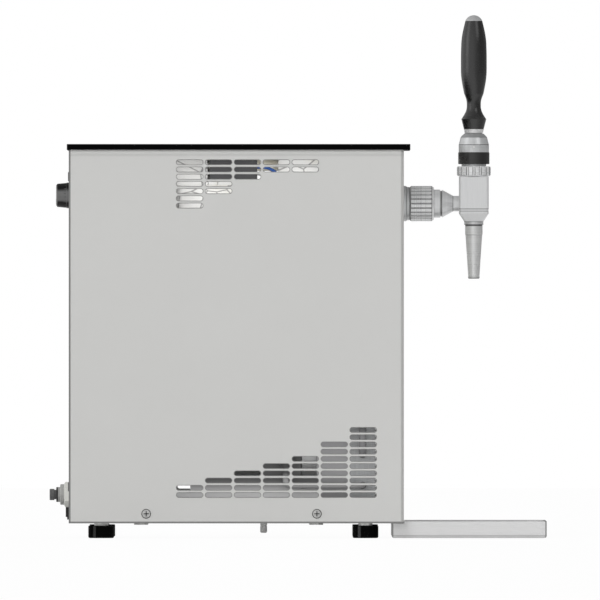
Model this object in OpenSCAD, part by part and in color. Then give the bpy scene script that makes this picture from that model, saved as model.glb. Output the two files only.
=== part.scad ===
/* [Casing] */
// Depth of the casing, from its rear panel to its front face
casing_len = 324.5; // [310:0.5:380]
// Width of the casing across its side walls
casing_w = 215; // [205:1:260]
// Height of the casing walls
casing_h = 361.8; // [355:0.2:420]
// Thickness of the casing sheet
sheet = 1.2; // [0.8:0.1:1.5]
// Outside radius of the two front bends
bend_r = 3.5; // [2.5:0.5:8]
// Width of the lips folded in along the top
top_lip = 12; // [8:1:16]
// Height of the flanges on the base pan
pan_flange_h = 18; // [16:1:26]
// Width of the flanges on the rear panel
rear_flange = 14; // [12:1:20]

/* [Lid] */
// Thickness of the lid
lid_t = 5.5; // [4:0.5:9]
// How far the lid stands out at the rear and sides
lid_over = 1.9; // [0:0.1:6]
// How far the lid stands out at the front
lid_over_front = 6.3; // [0:0.1:12]
// Corner radius of the lid
lid_corner_r = 4; // [2:0.5:10]
// Depth of the rim that locates the lid inside the casing
lid_rim_h = 4; // [2:0.5:8]

/* [Vents] */
// Length of one vent slot
slot_len = 25.6; // [18:0.2:26]
// Height of one vent slot
slot_h = 4.6; // [3:0.2:5.4]
// Distance from slot to slot along the casing
slot_pitch_x = 28; // [27:0.5:30]
// Distance from slot to slot up the casing
slot_pitch_z = 7; // [6.5:0.5:8]
// Bare wall between the vents and the front face
vent_front_gap = 26.6; // [20:0.2:40]
// Centre of the lowest slots above the casing's bottom edge
vent_low = 27.5; // [25:0.5:40]
// Centre of the highest slots below the casing's top edge
vent_high = 12.1; // [12:0.1:20]

/* [Base] */
// Diameter of a rubber foot
foot_d = 25; // [20:1:30]
// Height of the rubber of a foot
foot_h = 12; // [10:0.5:20]
// Height of the round shoulder above a foot
foot_gap = 2.4; // [2.2:0.1:6]
// Diameter of the round shoulder above a foot
foot_stud_d = 13.5; // [10:0.5:18]
// Rear feet, behind the casing's front face
foot_rear_back = 293.3; // [280:0.1:300]
// Front feet, behind the casing's front face
foot_front_back = 37.1; // [30:0.1:50]
// Distance of the feet's centres from the side walls
foot_side = 26; // [20:1:40]
// Side screws above the casing's bottom edge
side_screw_up = 9.3; // [8:0.1:12]
// Rear side screw, behind the casing's front face
side_screw_rear = 249.5; // [230:0.5:270]
// Distance between the two side screws
side_screw_pitch = 165.3; // [140:0.1:180]
// Diameter of a casing screw's head
screw_head_d = 8.7; // [7:0.1:10]

/* [Drain] */
// Diameter of the drain spout
drain_d = 6.7; // [5:0.1:10]
// Length of the drain spout below the casing
drain_drop = 10; // [8:0.5:12]
// Drain spout, behind the casing's front face
drain_back = 135.9; // [130:0.1:142]

/* [Tap place] */
// Tap's centre line ahead of the casing's front face
tap_reach = 68.4; // [66:0.1:90]
// Shank's axis above the counter
shank_z = 324.4; // [300:0.1:335]
// Side of the square tap body
tap_side = 28.9; // [27:0.1:31]

/* [Shank] */
// Diameter of the washer against the casing
washer_d = 34.3; // [33:0.1:40]
// Thickness of the washer against the casing
washer_t = 3.1; // [2:0.1:5]
// Diameter of the shank's flange
flange_d = 32.3; // [30:0.1:33]
// Thickness of the shank's flange
flange_t = 2.7; // [2:0.1:4]
// Diameter of the shank's thread through the wall
shank_d = 21; // [20:0.5:24]
// Diameter of the coupling nut over its flutes
coupling_d = 34.3; // [34:0.1:38]
// Length of the coupling nut
coupling_len = 23.7; // [22:0.1:26]
// Number of grip flutes on the coupling nut
coupling_flutes = 24; // [16:1:30]
// Bore for the drink through the shank
drink_bore_d = 8; // [5:0.5:9]
// Diameter of the collar ahead of the coupling nut
collar_d = 27.3; // [25:0.1:28]
// Diameter of the neck that enters the tap
neck_d = 15; // [13:0.1:16]

/* [Tap body] */
// Height of the tap body above the shank's axis
body_up = 26.7; // [25:0.1:30]
// Depth of the straight body below the shank's axis
body_down = 9.6; // [9:0.1:12]
// Height of the four-sided taper under the body
body_cone_h = 7.9; // [6:0.1:10]
// Diameter of the round collar under the taper
outlet_d = 18.6; // [17.6:0.1:19.6]
// Height of the round collar under the taper
outlet_h = 3.1; // [2:0.1:5]
// Bore that the valve piston slides in
piston_d = 13; // [11:0.5:14]

/* [Nozzle] */
// Diameter of the nozzle's collar
nozzle_collar_d = 16.9; // [16.7:0.1:17.5]
// Height of the nozzle's collar
nozzle_collar_h = 9.9; // [6:0.1:12]
// Length of the nozzle's taper
nozzle_len = 42.5; // [30:0.5:50]
// Diameter at the top of the nozzle's taper
nozzle_top_d = 16.2; // [14.8:0.1:16.6]
// Diameter at the nozzle's mouth
nozzle_tip_d = 10.9; // [9:0.1:12]
// Wall of the nozzle
nozzle_wall = 1.3; // [0.8:0.1:1.8]
// Number of holes in the restrictor disc
restrictor_holes = 5; // [4:1:8]

/* [Bonnet] */
// Diameter of the collar nut over its flutes
collar_nut_d = 33; // [31.5:0.1:36]
// Height of the collar nut
collar_nut_h = 9.5; // [8:0.1:12]
// Number of grip flutes on the collar nut
collar_nut_flutes = 16; // [14:1:26]
// Bare neck between the collar nut and the black ring
bonnet_neck_h = 2.1; // [1:0.1:4]
// Diameter of the bonnet's bare neck
bonnet_neck_d = 23.9; // [23:0.1:24.6]
// Diameter of the black ring
ring_d = 30.4; // [29.6:0.1:32]
// Height of the black ring
ring_h = 11.6; // [11:0.1:13]
// Diameter of the bonnet's metal band
band_d = 29.4; // [28:0.1:30]
// Height of the bonnet's metal band
band_h = 7.3; // [6.5:0.1:8]
// Height of the bonnet's cone above the band
bonnet_cone_h = 7.9; // [7:0.1:8.5]
// Radius of the bonnet's domed top, about the lever's pivot
dome_r = 15.8; // [15.5:0.1:16.2]

/* [Lever] */
// Furthest tilt of the lever to the front
pour_deg = 22; // [10:1:22]
// Furthest tilt of the lever to the rear
foam_deg = 12; // [5:1:12]
// Diameter of the lever rod
rod_d = 6; // [5:0.5:6]
// Reach of the lever's finger behind its pivot
finger_reach = 7.4; // [7:0.1:7.4]
// Diameter of the lever's finger
finger_d = 3.2; // [2.6:0.1:3.2]
// Diameter of the lever's hub
hub_d = 9; // [8:0.5:9]
// Diameter of the pivot pin
pivot_pin_d = 3; // [2:0.5:4]

/* [Grip] */
// Length of the black grip
grip_len = 105.1; // [90:0.1:130]
// Largest diameter of the grip
grip_d = 25.1; // [22:0.1:32]
// Diameter of the grip's waist
waist_d = 13.6; // [12:0.1:18]
// Diameter of the ridge under the waist
ridge_d = 24.2; // [20:0.1:30]
// Diameter of the grip's foot
grip_foot_d = 19.3; // [18.6:0.1:22]
// Diameter of the grip's top
grip_top_d = 16.5; // [14:0.1:20]
// Height of the domed end cap
cap_h = 5.6; // [3:0.1:8]
// Diameter of the ferrule where it meets the bonnet's dome
ferrule_d = 17.8; // [17.4:0.1:18.4]

/* [Rear knob] */
// Knob's axis above the counter
knob_z = 332.4; // [300:0.1:340]
// Diameter of the knob
knob_d = 25; // [20:0.5:30]
// Length of the knob
knob_len = 13; // [10:0.5:18]
// Diameter of the thermostat's shaft
knob_shaft_d = 6; // [5:0.5:8]

/* [Inlet] */
// Inlet's axis above the counter
inlet_z = 42; // [40:0.1:60]
// Distance of the inlet from the middle, towards the viewer's side
inlet_side = 55; // [45:1:70]
// Size of the inlet's hexagon nut across corners
inlet_hex_d = 24.5; // [22:0.1:28]
// Thickness of the inlet's hexagon nut
inlet_nut_t = 4.85; // [3:0.05:6]
// Diameter of the inlet's collar
inlet_collar_d = 20; // [18:0.1:21]
// Thickness of the inlet's collar
inlet_collar_t = 3.9; // [3:0.1:6]
// Diameter of the inlet's neck rings
inlet_ring_d = 14.5; // [14:0.1:16]
// Thickness of each of the inlet's neck rings
inlet_ring_t = 1.9; // [1.5:0.1:3]
// Diameter of the push-in collet
collet_d = 11; // [10.5:0.1:12]
// Free length of the push-in collet
collet_len = 6.4; // [5:0.1:8]
// Travel of the push-in collet
collet_travel = 1.5; // [0.5:0.1:2]
// Outside diameter of the drink tube that the inlet takes
tube_d = 8; // [6:0.5:8]

/* [Power inlet] */
// Distance of the power inlet from the middle, away from the viewer's side
power_side = 45; // [35:1:60]
// Middle of the power inlet above the counter
power_z = 32.4; // [30:0.1:50]

/* [Drip tray] */
// Length of the drip tray with its tongue
tray_len = 150.2; // [120:0.1:200]
// How far the drip tray's sides stand in from the casing's side walls
tray_inset = 17.5; // [5:0.5:35]
// Height of the drip tray
tray_h = 16.2; // [16:0.1:30]
// Length of the tray's tongue under the casing
tray_tuck = 11.7; // [6:0.1:20]
// Wall of the drip tray
tray_wall = 1.5; // [1:0.1:2.5]
// Radius of the tray's lower edges
tray_edge_r = 2.4; // [1:0.1:3]
// Length of a grate slot
grate_slot = 22; // [15:1:26]

/* [Condenser] */
// Space between the condenser's finned core and the top of the sheet shelf
core_head = 6; // [4:1:30]
// Space between the condenser's finned core and each side wall
core_side_gap = 29.5; // [26:0.5:34]
// Height of the finned core above the base pan
core_up = 20.4; // [20:0.1:24]
// Depth of the condenser's finned core
core_t = 25; // [20:1:30]
// Front of the finned core, behind the casing's front face
core_front_back = 27.5; // [27:0.5:40]
// Depth of the fan shroud
shroud_len = 46; // [40:1:50]
// Diameter of the fan, as a share of the finned core's smaller side
fan_share = 0.8; // [0.65:0.01:0.82]
// Number of fan blades
fan_blade_count = 5; // [3:1:7]
// Pitch of the fan blades, in degrees
fan_pitch = 32; // [20:1:40]
// Number of fins
fin_count = 22; // [14:1:26]

/* [Compressor] */
// Largest diameter of the compressor's shell
shell_d = 120; // [100:1:126]
// Height of the compressor's shell
shell_h = 112; // [95:1:120]
// Spacing of the compressor's bolts along the casing
bolt_pitch_x = 170; // [150:1:175]
// Spacing of the compressor's bolts across the casing
bolt_pitch_y = 70; // [60:1:90]
// Front compressor bolts, behind the casing's front face
bolt_front_back = 84.9; // [80:0.1:90]

/* [Cooler] */
// Space between the compressor's shell and the top of the sheet shelf
shelf_over = 36; // [34:1:40]
// Length of the insulation block
foam_len = 168; // [150:1:175]
// Space between the insulation block and each side wall
foam_side_gap = 44.5; // [40:0.5:50]
// Space between the insulation and the casing's top edge
foam_head = 34.2; // [32:0.1:40]
// Thickness of the insulation's cap
foam_cap_h = 24; // [15:1:26]
// Front of the insulation, behind the casing's front face
foam_front_back = 54; // [50:1:60]
// Diameter of the aluminium cooling block, as a share of the insulation's width
block_share = 0.6; // [0.5:0.01:0.62]
// Least rise of each coil in one turn, as a share of its tube's diameter
coil_rise = 2.2; // [2.15:0.05:4]
// Diameter of the coil tubes
coil_tube_d = 6; // [5:0.5:6]
// Outside diameter of the insulated outlet hose
hose_d = 14; // [12:0.5:18]

/* [Fits] */
// Gap between pieces that are fixed together
fit = 0.05; // [0.02:0.01:0.1]
// Gap round pieces that turn or slide on a shaft
run = 0.05; // [0.02:0.01:0.1]
// Gap between curved pieces that move past each other
clear = 0.3; // [0.2:0.05:0.5]

/* [Hidden] */
$fn = 48;
eps = 0.01;

// Columns of slots from rear to front: how many stand at the bottom, and how many hang from the top
low_counts = [2, 3, 4, 5, 6, 8, 10];
high_counts = [7, 5, 3, 2, 2, 0, 0];

// Heights and lengths that follow from the driving sizes
casing_z = foot_h + foot_gap;
casing_top = casing_z + casing_h;
rear_reach = inlet_nut_t + inlet_collar_t + 2 * inlet_ring_t + collet_len;
tray_reach = tray_len - tray_tuck;
rear_x = -(rear_reach + casing_len + tray_reach) / 2 + rear_reach;
front_x = rear_x + casing_len;
half_w = casing_w / 2;
tap_x = front_x + tap_reach;

vent_x = front_x - vent_front_gap - (len(low_counts) - 1) * slot_pitch_x - slot_len;
vent_low_z = casing_z + vent_low;
vent_high_z = casing_top - vent_high;
screw_x = [for (i = [0:1]) front_x - side_screw_rear + i * side_screw_pitch];
screw_z = casing_z + side_screw_up;
screw_r = 2;
screw_head_r = screw_head_d / 2;
screw_head_t = 0.9;
rear_screw_z = [casing_z + side_screw_up + 26, casing_top - 26];
rear_screw_y = half_w - 12;
screw_len = 5;
m6_nut_r = 5.8;
m6_nut_t = 5;
foot_x = [front_x - foot_rear_back, front_x - foot_front_back];
foot_y = half_w - foot_side;
foot_screw_r = 3;
pan_top = casing_z + sheet;

compressor_x = front_x - bolt_front_back - bolt_pitch_x / 2;
bolt_r = 3;
bolt_head_r = 6.8;
bolt_head_t = 1.9;
leg_z = 20;
leg_t = 3;
grommet_r = 10;
grommet_lip = 3;
leg_hole_r = 7.5;
shell_z = 44;
shell_r = shell_d / 2;
seam_z = shell_z + 0.42 * shell_h;
seam_half = 3;
seam_over = 2.5;
relay_y = -shell_r - seam_over - clear;
relay_w = 52;
relay_deep = 22;
relay_h = 50;
relay_up = 22;
relay_wall = 4;
stub_top = shell_z + shell_h - 6;
stub_y = 38;
suction_back = 20;
discharge_ahead = 24;

core_w = casing_w - 2 * core_side_gap;
core_x = front_x - core_front_back - core_t;
core_z = pan_top + core_up;
shelf_z = shell_z + shell_h + shelf_over;
core_h = shelf_z - core_head - core_z;
fan_z = core_z + core_h / 2;
shroud_x = core_x - fit - shroud_len;
shroud_t = 1.5;
fan_r = fan_share * min(core_w, core_h) / 2;
fan_x = shroud_x + 12;
motor_r = 26;
motor_x = fan_x + 12;
motor_len = 22;
fan_shaft_r = 3;
core_tube_r = 3.5;
core_rows = 5;
core_pass_h = core_h / core_rows;
core_bend_y = core_w / 2 + 2;
duct_len = 14;
fan_hub_r = 14;
fan_hub_len = 18;
fan_chord = 40;
fan_blade_t = 1.4;
pipe_r = 3;
capillary_r = 1.5;
wire_r = 1.4;

foam_x = front_x - foam_front_back - foam_len;
foam_z = shelf_z;
foam_w = casing_w - 2 * foam_side_gap;
foam_h = casing_top - foam_head - foam_cap_h - foam_z;
block_d = block_share * foam_w;
foam_top = foam_z + foam_h + foam_cap_h;
block_x = foam_x + foam_len / 2 + 6;
block_z = foam_z + 15;
block_h = foam_z + foam_h - block_z - clear;
coil_steps = 16;
coil_r = (block_d / 2 + clear + coil_tube_d / 2) / cos(180 / coil_steps);
cavity_r = coil_r + coil_tube_d / 2 + 1.5;
coil_span = block_h - 20;
coil_turns = floor(coil_span / (coil_rise * coil_tube_d) - 0.5);
coil_pitch = coil_span / (coil_turns + 0.5);
lead_z = foam_top + 6;
crossing_z = lead_z + 14;
coil_end_z = shelf_z - 6;
pipe_z = shelf_z - 12;
foam_corner_r = 8;
shelf_flange_h = 14;

// Box of the controls, seen through the upper vents
control_x = vent_x + 1.15 * slot_pitch_x;
control_len = 46;
control_h = 19;
control_z = vent_high_z - 17;
control_w = 46;
control_side = 8;
control_y = -half_w + sheet + 9;
hose_y = control_y + control_w + hose_d / 2 + 2.3;
thermostat_len = 26;
thermostat_w = 36;
thermostat_h = 32;

// Tap levels, upwards from the shank's axis
body_top = shank_z + body_up;
body_low = shank_z - body_down;
outlet_top = body_low - body_cone_h;
outlet_low = outlet_top - outlet_h;
nut_top = body_top + collar_nut_h;
nut_lip = 1.8;
spigot_top = nut_top - nut_lip - 2.4;
spigot_r = bonnet_neck_d / 2 + 1.25;
ring_low = nut_top + bonnet_neck_h;
ring_top = ring_low + ring_h;
band_top = ring_top + band_h;
cone_top = band_top + bonnet_cone_h;
pivot_z = cone_top - 9.9;
piston_r = piston_d / 2;
bonnet_bore_r = 9;
bonnet_cavity_r = 11.2;
ring_bore_r = bonnet_cavity_r + 1.6;
gland_top = ring_low + 1.5;
cavity_low = ring_low + 3.3;
cavity_top = pivot_z + 7;
rod_r = rod_d / 2;
hub_half = 5.2;
finger_r = finger_d / 2;
disc_t = 1;
spigot_in = 8;
nozzle_spigot_r = 7;
nozzle_low = outlet_low - nozzle_collar_h - nozzle_len;
piston_low = shank_z - 2.2;
piston_len = 11;
stem_r = 3;
arm_w = 5;
port_r = 1.6;
seal_z = [2, 7.2];
seal_h = 1.6;
seal_deep = 1;

ferrule_low = pivot_z + sqrt(pow(dome_r + clear, 2) - pow(ferrule_d / 2, 2));
grip_low = ferrule_low + 3.8;
grip_top = grip_low + grip_len;
rod_top = grip_low + 26;

// Places along the shank, forwards from the casing's front face
washer_x = front_x;
shank_flange_x = washer_x + washer_t;
coupling_x = shank_flange_x + flange_t;
coupling_end = coupling_x + coupling_len;
head_r = coupling_d / 2 - 2.4;
lip_r = collar_d / 2 + 0.1;
tail_flange_t = 3;
tail_flange_x = coupling_end - 2.7 - tail_flange_t - fit;
collar_end = coupling_end + 6.3;
groove_end = collar_end + 1.8;
cone_end = groove_end + 10.4;
neck_end = tap_x - tap_side / 2;
backnut_t = 7;
shank_tail = 32;
shank_tail_r = 6;
shank_end_x = front_x - shank_tail;
bushing_r = 5.5;

// Places along the inlet, outwards from the rear panel
inlet_collar_x = rear_x - inlet_nut_t;
inlet_ring_x = inlet_collar_x - inlet_collar_t;
retainer_x = inlet_ring_x - inlet_ring_t;
collet_x = retainer_x - inlet_ring_t;
inlet_hole_r = 7;
inlet_end_x = rear_x + 22;
collet_skirt_r = collet_d / 2 - 0.9;

// Power inlet
socket_w = 27;
socket_h = 31;
socket_flange_t = 2.7;
socket_bezel_t = 4.1;
socket_open_w = 16.4;
socket_open_h = 24.4;
pin_places = [[-2, 0], [2, -4.2], [2, 4.2]];
pin_w = 4;
pin_t = 2;

tray_w = casing_w - 2 * tray_inset;
tray_x0 = front_x - tray_tuck;
tray_x1 = tray_x0 + tray_len;
tray_step_x = front_x + clear;
tongue_h = casing_z - clear;
grate_t = 1.2;
grate_z = tray_h - 2 - grate_t;
grate_row = 8;
grate_slot_h = 4;

// Rectangle with rounded corners, centred, as a flat shape
module round_rect(x, y, r) {
    square([x - 2 * r, y], center = true);
    square([x, y - 2 * r], center = true);
    for (sx = [-1, 1], sy = [-1, 1]) translate([sx * (x / 2 - r), sy * (y / 2 - r)]) circle(r);
}

// Slot with round ends, starting at its left end on the x axis
module slot_shape(length, height) {
    translate([height / 2, -height / 2]) square([length - height, height]);
    for (x = [height / 2, length - height / 2]) translate([x, 0]) circle(height / 2, $fn = 24);
}

// Turned piece along X: profile points are [distance along X, radius]
module turned_x(profile) {
    rotate([0, 90, 0]) rotate([0, 0, 90]) rotate_extrude() polygon([for (p = profile) [p[1], p[0]]]);
}

// Turned piece along Z on the tap's centre line
module turned_tap(profile) {
    translate([tap_x, 0, 0]) rotate_extrude() polygon(profile);
}

// Ring of straight grip flutes, cut away from a turned nut of this outside radius
module flute_cuts(count, outer_r, low, high, flute_r) {
    for (i = [0:count - 1]) rotate([0, 0, i * 360 / count])
        translate([outer_r + 0.25 * flute_r, 0, low]) cylinder(h = high - low, r = flute_r, $fn = 16);
}

// Points of an arc about a centre, between two angles
function arc(cx, cy, r, a0, a1, n) = [for (i = [0:n]) [cx + r * cos(a0 + (a1 - a0) * i / n),
    cy + r * sin(a0 + (a1 - a0) * i / n)]];

// Vector of length one along v
function unit(v) = v / norm(v);

// Route with each inner corner rounded by a curve that starts and ends at the given distance from it
function corner_points(a, b, c, d, n) = let (p = b + unit(a - b) * d, q = b + unit(c - b) * d)
    [for (i = [0:n]) let (t = i / n) p * pow(1 - t, 2) + b * 2 * t * (1 - t) + q * pow(t, 2)];
function rounded_route(points, d, n) = [points[0],
    for (i = [1:len(points) - 2]) each corner_points(points[i - 1], points[i], points[i + 1], d, n),
    points[len(points) - 1]];

// Direction of a route at its point i, and a side of it that turns as little as it can
function route_dir(p, i) = i == 0 ? unit(p[1] - p[0])
    : i == len(p) - 1 ? unit(p[i] - p[i - 1]) : unit(unit(p[i + 1] - p[i]) + unit(p[i] - p[i - 1]));
function side_start(d) = unit(cross(d, abs(d[2]) < 0.9 ? [0, 0, 1] : [1, 0, 0]));
function side_next(side, d) = unit(side - d * (side * d));
function route_sides(p, i = 0, done = []) = i == len(p) ? done
    : route_sides(p, i + 1, concat(done, [i == 0 ? side_start(route_dir(p, 0))
        : side_next(done[i - 1], route_dir(p, i))]));

// Round tube carried along a route, as one closed skin
module tube_on(path, radius, sides) {
    around = route_sides(path);
    rings = [for (i = [0:len(path) - 1]) let (d = route_dir(path, i), u = around[i], v = cross(d, u))
        for (k = [0:sides - 1]) path[i] + radius * (u * cos(360 * k / sides) + v * sin(360 * k / sides))];
    last = (len(path) - 1) * sides;
    polyhedron(points = rings, faces = concat(
        [[for (k = [0:sides - 1]) k]],
        [for (i = [0:len(path) - 2], k = [0:sides - 1]) let (a = i * sides, m = (k + 1) % sides)
            [a + k, a + sides + k, a + m]],
        [for (i = [0:len(path) - 2], k = [0:sides - 1]) let (a = i * sides, m = (k + 1) % sides)
            [a + m, a + sides + k, a + sides + m]],
        [[for (k = [sides - 1:-1:0]) last + k]]));
}

// Casing

module vent_field() {
    for (c = [0:len(low_counts) - 1]) translate([vent_x + c * slot_pitch_x, 0]) {
        if (low_counts[c] > 0) for (i = [0:low_counts[c] - 1])
            translate([0, vent_low_z + i * slot_pitch_z]) slot_shape(slot_len, slot_h);
        if (high_counts[c] > 0) for (i = [0:high_counts[c] - 1])
            translate([0, vent_high_z - i * slot_pitch_z]) slot_shape(slot_len, slot_h);
    }
}

module side_wall() {
    rotate([90, 0, 0]) linear_extrude(sheet) difference() {
        translate([rear_x, casing_z]) square([casing_len - bend_r, casing_h]);
        vent_field();
        for (x = screw_x) translate([x, screw_z]) circle(screw_r + fit);
    }
}

module casing_wrap() {
    color([0.78, 0.78, 0.77]) {
        translate([0, half_w, 0]) side_wall();
        translate([0, sheet - half_w, 0]) side_wall();
        for (s = [-1, 1]) translate([front_x - bend_r, s * (half_w - bend_r), casing_z])
            rotate([0, 0, s > 0 ? 0 : -90]) rotate_extrude(angle = 90)
                translate([bend_r - sheet, 0]) square([sheet, casing_h]);
        difference() {
            translate([front_x - sheet, bend_r - half_w, casing_z])
                cube([sheet, casing_w - 2 * bend_r, casing_h]);
            translate([front_x, 0, shank_z]) rotate([0, 90, 0])
                cylinder(h = 4 * sheet, r = shank_d / 2 + fit, center = true);
        }
        for (s = [-1, 1]) translate([rear_x, s > 0 ? half_w - sheet - top_lip : sheet - half_w,
            casing_top - sheet]) cube([casing_len - bend_r, top_lip, sheet]);
        translate([front_x - sheet - top_lip, sheet + top_lip - half_w, casing_top - sheet])
            cube([top_lip, casing_w - 2 * (sheet + top_lip), sheet]);
    }
}

module rear_panel() {
    inner = half_w - sheet - fit;
    color([0.78, 0.78, 0.77]) {
        difference() {
            translate([rear_x, -inner, casing_z]) cube([sheet, 2 * inner, casing_h - sheet - fit]);
            translate([rear_x, 0, knob_z]) rotate([0, 90, 0])
                cylinder(h = 4 * sheet, r = knob_shaft_d / 2 + 1, center = true);
            translate([rear_x, -inlet_side, inlet_z]) rotate([0, 90, 0])
                cylinder(h = 4 * sheet, r = inlet_hole_r + fit, center = true);
            translate([rear_x, power_side, power_z]) rotate([0, 90, 0])
                cube([socket_h - 4 + 2 * fit, socket_w - 4 + 2 * fit, 4 * sheet], center = true);
            for (s = [-1, 1], z = rear_screw_z) translate([rear_x, s * rear_screw_y, z]) rotate([0, 90, 0])
                cylinder(h = 4 * sheet, r = screw_r + fit, center = true);
        }
        for (s = [-1, 1]) translate([rear_x + sheet - eps, s > 0 ? inner - sheet : -inner,
            pan_top + pan_flange_h + 1])
                cube([rear_flange, sheet, casing_h - pan_flange_h - 2 * sheet - 3]);
    }
}

module base_pan() {
    inner = half_w - sheet - fit;
    x0 = rear_x + sheet + fit;
    x1 = front_x - sheet - fit;
    color([0.72, 0.72, 0.71]) difference() {
        translate([x0, -inner, casing_z]) cube([x1 - x0, 2 * inner, pan_flange_h + sheet]);
        translate([x0 + sheet, sheet - inner, pan_top])
            cube([x1 - x0 - 2 * sheet, 2 * (inner - sheet), pan_flange_h + sheet]);
        for (s = [-1, 1]) translate([x1, s * inner, pan_top + pan_flange_h / 2])
            cube([2 * (bend_r - sheet), 2 * (bend_r - sheet), pan_flange_h + 4 * sheet], center = true);
        for (x = screw_x) translate([x, 0, screw_z]) rotate([90, 0, 0])
            cylinder(h = casing_w, r = screw_r + fit, center = true);
        for (x = foot_x, s = [-1, 1]) translate([x, s * foot_y, casing_z])
            cylinder(h = 4 * sheet, r = foot_screw_r + fit, center = true);
        for (x = [-1, 1], s = [-1, 1])
            translate([compressor_x + x * bolt_pitch_x / 2, s * bolt_pitch_y / 2, casing_z])
                cylinder(h = 4 * sheet, r = bolt_r + fit, center = true);
        translate([front_x - drain_back, 0, casing_z])
            cylinder(h = 4 * sheet, r = drain_d / 2 + fit, center = true);
        translate([x0, power_side, power_z]) cube([4 * sheet, socket_w + 2, socket_h + 2], center = true);
        translate([x0, -inlet_side, inlet_z]) cube([4 * sheet, 30, 30], center = true);
    }
}

module top_lid() {
    x0 = rear_x - lid_over;
    x1 = front_x + lid_over_front;
    rim_x0 = rear_x + sheet + 4;
    rim_x1 = front_x - sheet - top_lip - 1;
    rim_y = half_w - sheet - top_lip - 1;
    color([0.03, 0.03, 0.03]) {
        translate([(x0 + x1) / 2, 0, casing_top]) linear_extrude(lid_t)
            round_rect(x1 - x0, casing_w + 2 * lid_over, lid_corner_r);
        translate([0, 0, casing_top - lid_rim_h]) linear_extrude(lid_rim_h) difference() {
            translate([rim_x0, -rim_y]) square([rim_x1 - rim_x0, 2 * rim_y]);
            translate([rim_x0 + 3, 3 - rim_y]) square([rim_x1 - rim_x0 - 6, 2 * rim_y - 6]);
        }
    }
}

// Screw whose head rests on the plane z = 0 and whose shank points down
module pan_screw(length) {
    difference() {
        union() {
            cylinder(h = screw_head_t, r1 = screw_head_r, r2 = screw_head_r - 0.5);
            translate([0, 0, -length]) cylinder(h = length + eps, r = screw_r);
        }
        for (a = [0, 90]) rotate([0, 0, a]) translate([0, 0, screw_head_t])
            cube([3.6, 0.9, 1], center = true);
    }
}

module casing_screws() {
    color([0.55, 0.55, 0.54]) {
        for (x = screw_x, s = [-1, 1]) translate([x, s * half_w, screw_z]) rotate([s * -90, 0, 0])
            pan_screw(screw_len);
        for (s = [-1, 1], z = rear_screw_z) translate([rear_x, s * rear_screw_y, z]) rotate([0, -90, 0])
            pan_screw(screw_len);
    }
}

module rubber_feet() {
    r = foot_d / 2;
    color([0.02, 0.02, 0.02]) for (x = foot_x, s = [-1, 1]) translate([x, s * foot_y, 0]) rotate_extrude()
        polygon([[6.5, 0], [r - 1, 0], [r, 1], [r, foot_h - 0.5], [r - 0.5, foot_h],
            [foot_screw_r + fit, foot_h], [foot_screw_r + fit, 5], [6.5, 5]]);
}

module foot_studs() {
    color([0.7, 0.7, 0.7]) for (x = foot_x, s = [-1, 1]) translate([x, s * foot_y, 0]) {
        translate([0, 0, foot_h]) cylinder(h = foot_gap, r = foot_stud_d / 2);
        translate([0, 0, 4.9]) cylinder(h = casing_z - 4.9 + 6, r = foot_screw_r);
        translate([0, 0, 2.5]) cylinder(h = 2.5, r = 5.5);
        translate([0, 0, pan_top + fit]) cylinder(h = m6_nut_t, r = m6_nut_r, $fn = 6);
    }
}

module drain_spout() {
    r = drain_d / 2;
    low = casing_z - drain_drop;
    color([0.8, 0.8, 0.8]) translate([front_x - drain_back, 0, 0]) rotate_extrude()
        polygon([[2, low], [r - 0.9, low], [r, low + 0.9], [r, casing_z - 3.9], [r - 0.5, casing_z - 3.6],
            [r - 0.5, casing_z - 3.1], [r, casing_z - 2.8], [r, pan_top], [r + 4, pan_top],
            [r + 4, pan_top + 1.5], [2, pan_top + 1.5]]);
}

// Compressor and its seat

module compressor_bolt_places() {
    for (x = [-1, 1], s = [-1, 1])
        translate([compressor_x + x * bolt_pitch_x / 2, s * bolt_pitch_y / 2, 0]) children();
}

module compressor() {
    low_h = seam_z - shell_z;
    top_h = shell_h - low_h - 2 * seam_half;
    color([0.13, 0.13, 0.14]) {
        translate([compressor_x, 0, 0]) rotate_extrude() polygon(concat(
            [[0, shell_z]],
            [for (i = [1:10]) [shell_r * sin(i * 8.4),
                seam_z - seam_half - (low_h - seam_half) * cos(i * 8.4)]],
            [for (s = [-1, 1], out = [0, seam_over]) [shell_r + (s < 0 ? out : seam_over - out),
                seam_z + s * seam_half]],
            [for (i = [1:10]) [shell_r * cos(i * 8.4), seam_z + seam_half + top_h * sin(i * 8.4)]],
            [[0, seam_z + seam_half + top_h]]));
        difference() {
            union() {
                translate([compressor_x, 0, leg_z + leg_t / 2])
                    cube([bolt_pitch_x + 24, 26, leg_t], center = true);
                for (s = [-1, 1]) translate([compressor_x + s * bolt_pitch_x / 2, 0, leg_z + leg_t / 2])
                    cube([26, bolt_pitch_y + 26, leg_t], center = true);
                translate([compressor_x, 0, leg_z]) cylinder(h = shell_z + 6 - leg_z, r = 22);
            }
            compressor_bolt_places() translate([0, 0, leg_z - 1])
                cylinder(h = leg_t + 2, r = leg_hole_r + fit);
        }
        for (x = [-suction_back, discharge_ahead]) translate([compressor_x + x, stub_y, seam_z + 12])
            cylinder(h = stub_top - seam_z - 12, r = 4);
    }
}

module relay_cover() {
    color([0.06, 0.06, 0.06]) difference() {
        translate([compressor_x - relay_w / 2, relay_y - relay_deep, shell_z + relay_up])
            cube([relay_w, relay_deep + 3 * relay_wall, relay_h]);
        translate([compressor_x - relay_w / 2 + relay_wall, relay_y - relay_deep + relay_wall,
            shell_z + relay_up + relay_wall])
                cube([relay_w - 2 * relay_wall, relay_deep + 3 * relay_wall, relay_h - 2 * relay_wall]);
        translate([compressor_x, 0, shell_z]) cylinder(h = shell_h, r = -relay_y);
    }
}

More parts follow.
